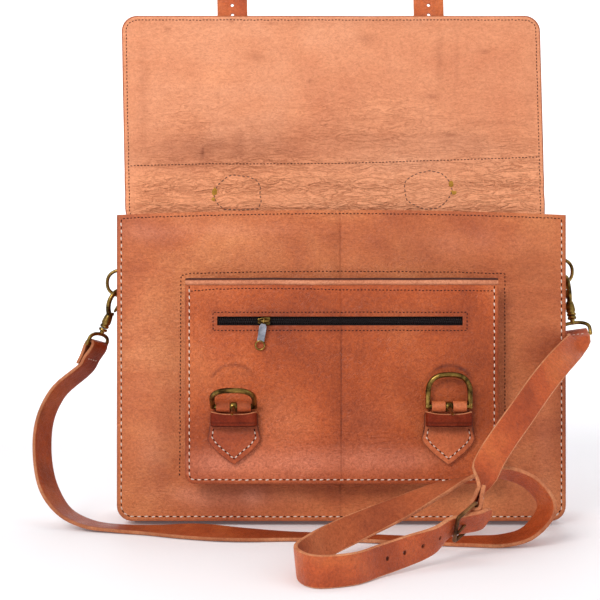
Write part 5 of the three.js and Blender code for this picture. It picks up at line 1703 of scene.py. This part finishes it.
def make_pull():
    body = plate("pull_plate", PULL_OUTLINE, -0.6, 0.6, 0.6)
    top = torus(2, 0.6, ALONG_X)
    end = torus(3.7, 0.75, Matrix.Translation((0, 0, -0.0205)) @ Matrix.Rotation(math.pi / 2, 4, "X"))
    for piece, look in ((body, "steel"), (top, "brass"), (end, "brass")):
        piece.data.materials.clear()
        dress(piece, [look])
    hang = Matrix.Translation(Vector(SLIDER_AT - (0, BRIDGE_OUT, 0)) * 0.001)
    place = hang @ Matrix.Rotation(PULL_LEAN, 4, "X") @ Matrix.Rotation(PULL_LEAN, 4, "Y")
    return metal_piece(joined([body, top, end], "pull_tag"), place, None, ["zip_pull"], "pull")


slider, pull = make_slider(), make_pull()
print("slider", len(slider.data.polygons), "pull", len(pull.data.polygons), "faces")

# %% [markdown]
# The seams are sewn by hand with two threads. A thick cream thread holds the edges in long slanting
# stitches, each between two awl holes, and a thin dark thread runs in short stitches round the pocket, the
# zip and the flap. One stitch is shaped and laid along every seam, and each stitch wanders a little.

# %% Sewing along a line
SLANTED = {"look": "cream", "slant": 7, "holes": True}


def along(points, pitch, closed=False):
    """Evenly spaced places and directions on a line of points, and the places between them."""
    points = np.asarray(points, float)
    if closed:
        points = np.vstack([points, points[:1]])
    run = lengths_of(points)
    count = max(2, round(run[-1] / pitch))

    def at(distance):
        return np.stack([np.interp(distance, run, points[:, k]) for k in range(3)], -1)

    middles = (np.arange(count) + 0.5) * run[-1] / count
    ahead = at(middles + 0.35 * pitch) - at(middles - 0.35 * pitch)
    ends = np.arange(count + 1) * run[-1] / count
    return at(middles), ahead / np.linalg.norm(ahead, axis=1)[:, None], at(ends)


def frames_for(ahead, normal, slants):
    """Three directions for each stitch: along it, across it and off the surface."""
    normals = normal - ahead * (ahead @ normal)[:, None]
    normals /= np.linalg.norm(normals, axis=1)[:, None]
    side = np.cross(normals, ahead)
    turned_ahead = ahead * np.cos(slants)[:, None] + side * np.sin(slants)[:, None]
    return np.stack([turned_ahead, np.cross(normals, turned_ahead), normals], -1)


def sew(name, lines, pitch, length, width, look, seed, normal=FRONT, slant=0, holes=False, closed=False):
    """Rows of stitches along lines that lie on a surface, with the surface's direction outwards."""
    rng = np.random.default_rng(seed)
    normal = np.asarray(normal, float)
    places, frames, ends, flows = [], [], [], []
    for line in lines:
        middle, ahead, between = along(line, pitch, closed)
        slants = np.radians(slant + rng.normal(0, 3.5, len(middle)))
        frame_set = frames_for(ahead, normal, slants)
        middle = middle + frame_set[:, :, 1] * rng.normal(0, 0.12, len(middle))[:, None]
        places.append(middle + normal * 0.12 * width)
        frames.append(frame_set)
        ends.append(between)
        flows.append(np.gradient(between, axis=0))
    stitch = bead(length, width, width * 0.85, 0.28 * width)
    stitches = repeated(name, stitch, np.vstack(places), np.concatenate(frames))
    finished(dress(stitches, [look]), angle=None)
    # The awl holes are flat dark pits laid on the surface, standing for the shade inside them.
    if holes:
        flow = np.vstack(flows)
        flow = flow / np.linalg.norm(flow, axis=1)[:, None]
        flat = frames_for(flow, normal, np.zeros(len(flow)))
        pits = repeated(name + "_holes", bead(2.7, 1.1, 0.26), np.vstack(ends), flat)
        finished(dress(pits, ["hole"]), angle=None)
    return len(np.vstack(places))


# %% [markdown]
# A seam is drawn as places across and up the bag, and then laid on the surface that it is sewn through.

# %% Lines for seams
def on_front(x, z):
    return np.stack([x, front_y(x, z), z], -1)


def on_pocket(x, z, proud=0.0):
    return np.stack([x, pocket_y(x, z) - proud, z], -1)


def u_line(inset, top, size):
    return np.array([on_route(station, inset, **size) for station in u_route(top, 4, **size)]).T


def straight(*corners, step=4):
    """Places every few millimetres along straight sides between corners in x and z."""
    line = [np.array(corners[0], float)]
    for a, b in zip(corners[:-1], corners[1:]):
        a, b = np.array(a, float), np.array(b, float)
        count = max(1, round(np.linalg.norm(b - a) / step))
        line += [a + (b - a) * (i + 1) / count for i in range(count)]
    return np.array(line).T


# %% [markdown]
# The front panel is sewn to the gusset round its sides and foot, and its top edge has a plain dark row.
# A dark row on the panel also holds the pocket's wall. It is not quite straight, as on the real bag.

# %% Seams of the front and the pocket
count = sew("seam_front", [on_front(*u_line(3.8, 258, BODY_SIZE))], 6, 3.6, 1.1, seed=2, **SLANTED)
top_x = np.linspace(-185.5, 185.5, 90)
top_z = BAG["height"] + BAG["crown"] * (1 - (top_x / BAG["half"]) ** 2) - 3.2
count += sew("seam_front_top", [on_front(top_x, top_z)], 3.1, 2.3, 0.85, "brown", 3)
pocket_edge = on_pocket(*u_line(3.4, 201.5, POCKET_SIZE))
count += sew("seam_pocket", [pocket_edge], 5.6, 3.4, 1.05, seed=4, **SLANTED)
top_line = straight((-126, 198.4), (-104, 200), (-80, 200.6), (-30, 200.2), (0, 199.4), (125, 198.6))
count += sew("seam_pocket_top", [on_pocket(*top_line)], 3, 2.2, 0.85, "brown", 5)
wall_line = straight((-136.6, 42), (-135.4, 211.8), (-126, 213.5), (-60, 214.8), (0, 215.2), (90, 214.6),
                     (137.8, 213.2), (137.8, 42))
count += sew("seam_pocket_wall", [on_front(*wall_line)], 3.2, 2.4, 0.85, "brown", 6)
zip_line = straight((-106.9, 165.9), (-106.9, 180.9), (103.1, 180.9), (103.1, 165.9), (-106.9, 165.9))
count += sew("seam_zip", [on_pocket(*zip_line)], 3, 2.2, 0.82, "brown", 7)
print(count, "stitches on the front")

# %% [markdown]
# Each buckle tab is sewn round its point with the cream thread. Its stitches are closer together than those
# of the edges.

# %% Seams of the tabs
TAB_SEAM = [(19.5, 16.9), (25.5, 18.1), (31, 14.2), (43.2, 0)]


def tab_line(side):
    x = BUCKLE_X[side]
    half = [(x + u, BUCKLE_Z - drop) for drop, u in TAB_SEAM]
    other = [(2 * x - px, z) for px, z in half[-2::-1]]
    px, pz = straight(*(half + other), step=2)
    drop = BUCKLE_Z - pz
    return on_pocket(px, pz, TAB["proud"] + tab_puff((px - x) / tab_reach(drop), drop))


tab_lines = [tab_line(side) for side in BUCKLE_X]
tab_stitches = sew("seam_tabs", tab_lines, 4.5, 2.8, 1.0, "cream", 8, slant=8, holes=True)
print(tab_stitches, "stitches on the tabs")

# %% [markdown]
# The flap's lining is sewn on with the dark thread round its edge, and a sloping cross row marks where it
# bends. Behind the lining, the handle's patches are sewn on, and their thread comes through as two uneven
# rings of grey stitches.

# %% Seams of the flap
RINGS = [
    (-88.3, 289.5, [
        (-4, 15.4), (11, 14), (18.7, 10), (21.4, 4), (20.4, -2), (21.6, -9), (19, -15), (4, -16.4),
        (-12, -15.8), (-17.4, -11.4), (-20.8, -5), (-20, 1), (-16.8, 6.4), (-10, 12.6),
    ]),
    (83.9, 291, [
        (-20.6, 6), (-18, 10.2), (-12.9, 13.4), (-6, 16.4), (3, 18), (12.2, 16.2), (17.6, 12), (21, 6.6),
        (22.8, 0.4), (20.8, -5), (16, -11), (9.4, -16), (1.6, -17), (-6.4, -16.2), (-13, -13), (-18.6, -9),
        (-20, -1.4),
    ]),
]


def flap_line(inset, low):
    top, corner, reach = FLAP["top"] - inset, FLAP["corner"] - inset, BAG["half"] - inset
    left = [(-reach, z) for z in np.linspace(low, top - corner, 60)]
    left += [(-reach + corner * (1 - math.cos(a)), top - corner + corner * math.sin(a))
             for a in np.linspace(0, np.pi / 2, 7)[1:]]
    right = [(-x, z) for x, z in left[::-1]]
    foot, head = left[-1], right[0]
    middle = [(x, foot[1]) for x in np.linspace(foot[0], head[0], 90)[1:-1]]
    return np.array(left + middle + right).T


def ring_line(x, z, corners):
    bend = np.array(corners + corners[:1], float)
    at = np.linspace(0, len(corners), 60, endpoint=False)
    across, up = (np.interp(at, np.arange(len(bend)), values) for values in bend.T)
    return back_point(x + across, z + up, LINING_FACE)


def patch_line(x, radius=16):
    around = np.linspace(0, 2 * np.pi, 40, endpoint=False)
    return back_point(x + radius * np.cos(around), PATCH_Z + radius * np.sin(around), PATCH_FACE)


edge = flap_line(4.2, 268)
cross_x = np.linspace(-185, 185, 120)
cross = cross_x, np.interp(cross_x, [-190, -116, 5, 62, 181], [313.3, 315.1, 315.7, 317.4, 321.2])
inner = [back_point(*line, LINING_FACE) for line in (edge, cross)]
outer = [back_point(*line, 0) for line in (edge, cross)]
count = sew("seam_lining", inner, 3.1, 2.4, 0.8, "brown", 9)
count += sew("seam_flap", outer, 3.1, 2.3, 0.6, "brown", 10, BACK)
back_edge = back_point(*u_line(3.8, 252, BODY_SIZE), 0)
count += sew("seam_back", [back_edge], 6, 3.6, 1.1, seed=11, normal=BACK, **SLANTED)
count += sew("seam_handle", [ring_line(*ring) for ring in RINGS], 4.2, 3.4, 0.95, "grey", 12, closed=True)
count += sew("seam_patches", [patch_line(x) for x in PATCH_X], 4.2, 3, 0.85, "cream", 13, BACK, closed=True)
print(count, "stitches on the flap and the back")

# %% [markdown]
# Four drops of old glue have dried on the lining beside those rings. Each is a small ball pressed flat,
# with an uneven outline.

# %% Old glue
GLUE_SPOTS = [(-108.5, 289.5, 2.2, 3.4), (-109.6, 282.8, 1.8, 1.8), (105.5, 296.3, 2.5, 2.7),
              (107.8, 289.2, 2.4, 1.8)]


def glue_drop(x, z, half, rise):
    drop = added(bpy.ops.mesh.primitive_ico_sphere_add, subdivisions=3, radius=1)
    across, out, up = points_of(drop).T
    reach = 1 + 0.35 * cloud(across * 2, up * 2, 1, int(abs(x)))
    places = back_point(x + across * half * reach, z + up * rise * reach, LINING_FACE)
    places[:, 1] += out * 0.45
    return lay(drop, places)


def make_glue():
    obj = joined([glue_drop(*spot) for spot in GLUE_SPOTS], "old_glue")
    obj.data.materials.clear()
    return finished(dress(obj, ["glue"]), angle=60)


glue = make_glue()
print("old glue", len(glue.data.polygons), "faces")

# %% [markdown]
# The strap's folded ends and the closing straps' feet are sewn through with a few stitches. A fold has a
# short row on each of its two faces.

# %% Seams of the straps
def fold_row(points, index, other):
    """A row across a strap's fold, on the face that looks away from the fold's other half."""
    middle, across = points[index]
    ahead = points[index + 1][0] - points[index - 1][0]
    face = unit(np.cross(unit(ahead), unit(across)))
    face = face if np.dot(face, middle - points[other][0]) > 0 else -face
    lift = face * (STRAP["thickness"] / 2 + 0.1)
    return np.array([middle + unit(across) * u + lift for u in np.linspace(-7.2, 7.2, 8)]), face


FOLDS = (("left", long_points(), 1, 8), ("right", short_points(), 1, 8), ("clasp", short_points(), -9, -2))
count = 0
for tag, points, first, second in FOLDS:
    for number, (index, other) in enumerate(((first, second), (second, first))):
        row, face = fold_row(points, index, other)
        count += sew(f"seam_fold_{tag}_{number}", [row], 3.7, 2.7, 0.9, "cream", 20 + number, face)
for side, x in CLOSING_X.items():
    line = straight((x - 10, 378), (x + 10, 378), (x + 10, 396), (x - 10, 396), (x - 10, 378), step=3)
    foot = back_point(*line, CLOSING["gap"] + CLOSING["thickness"] + 0.55)
    count += sew("seam_foot_" + side, [foot], 3.6, 2.6, 0.9, "cream", 30, BACK)
print(count, "stitches on the straps")
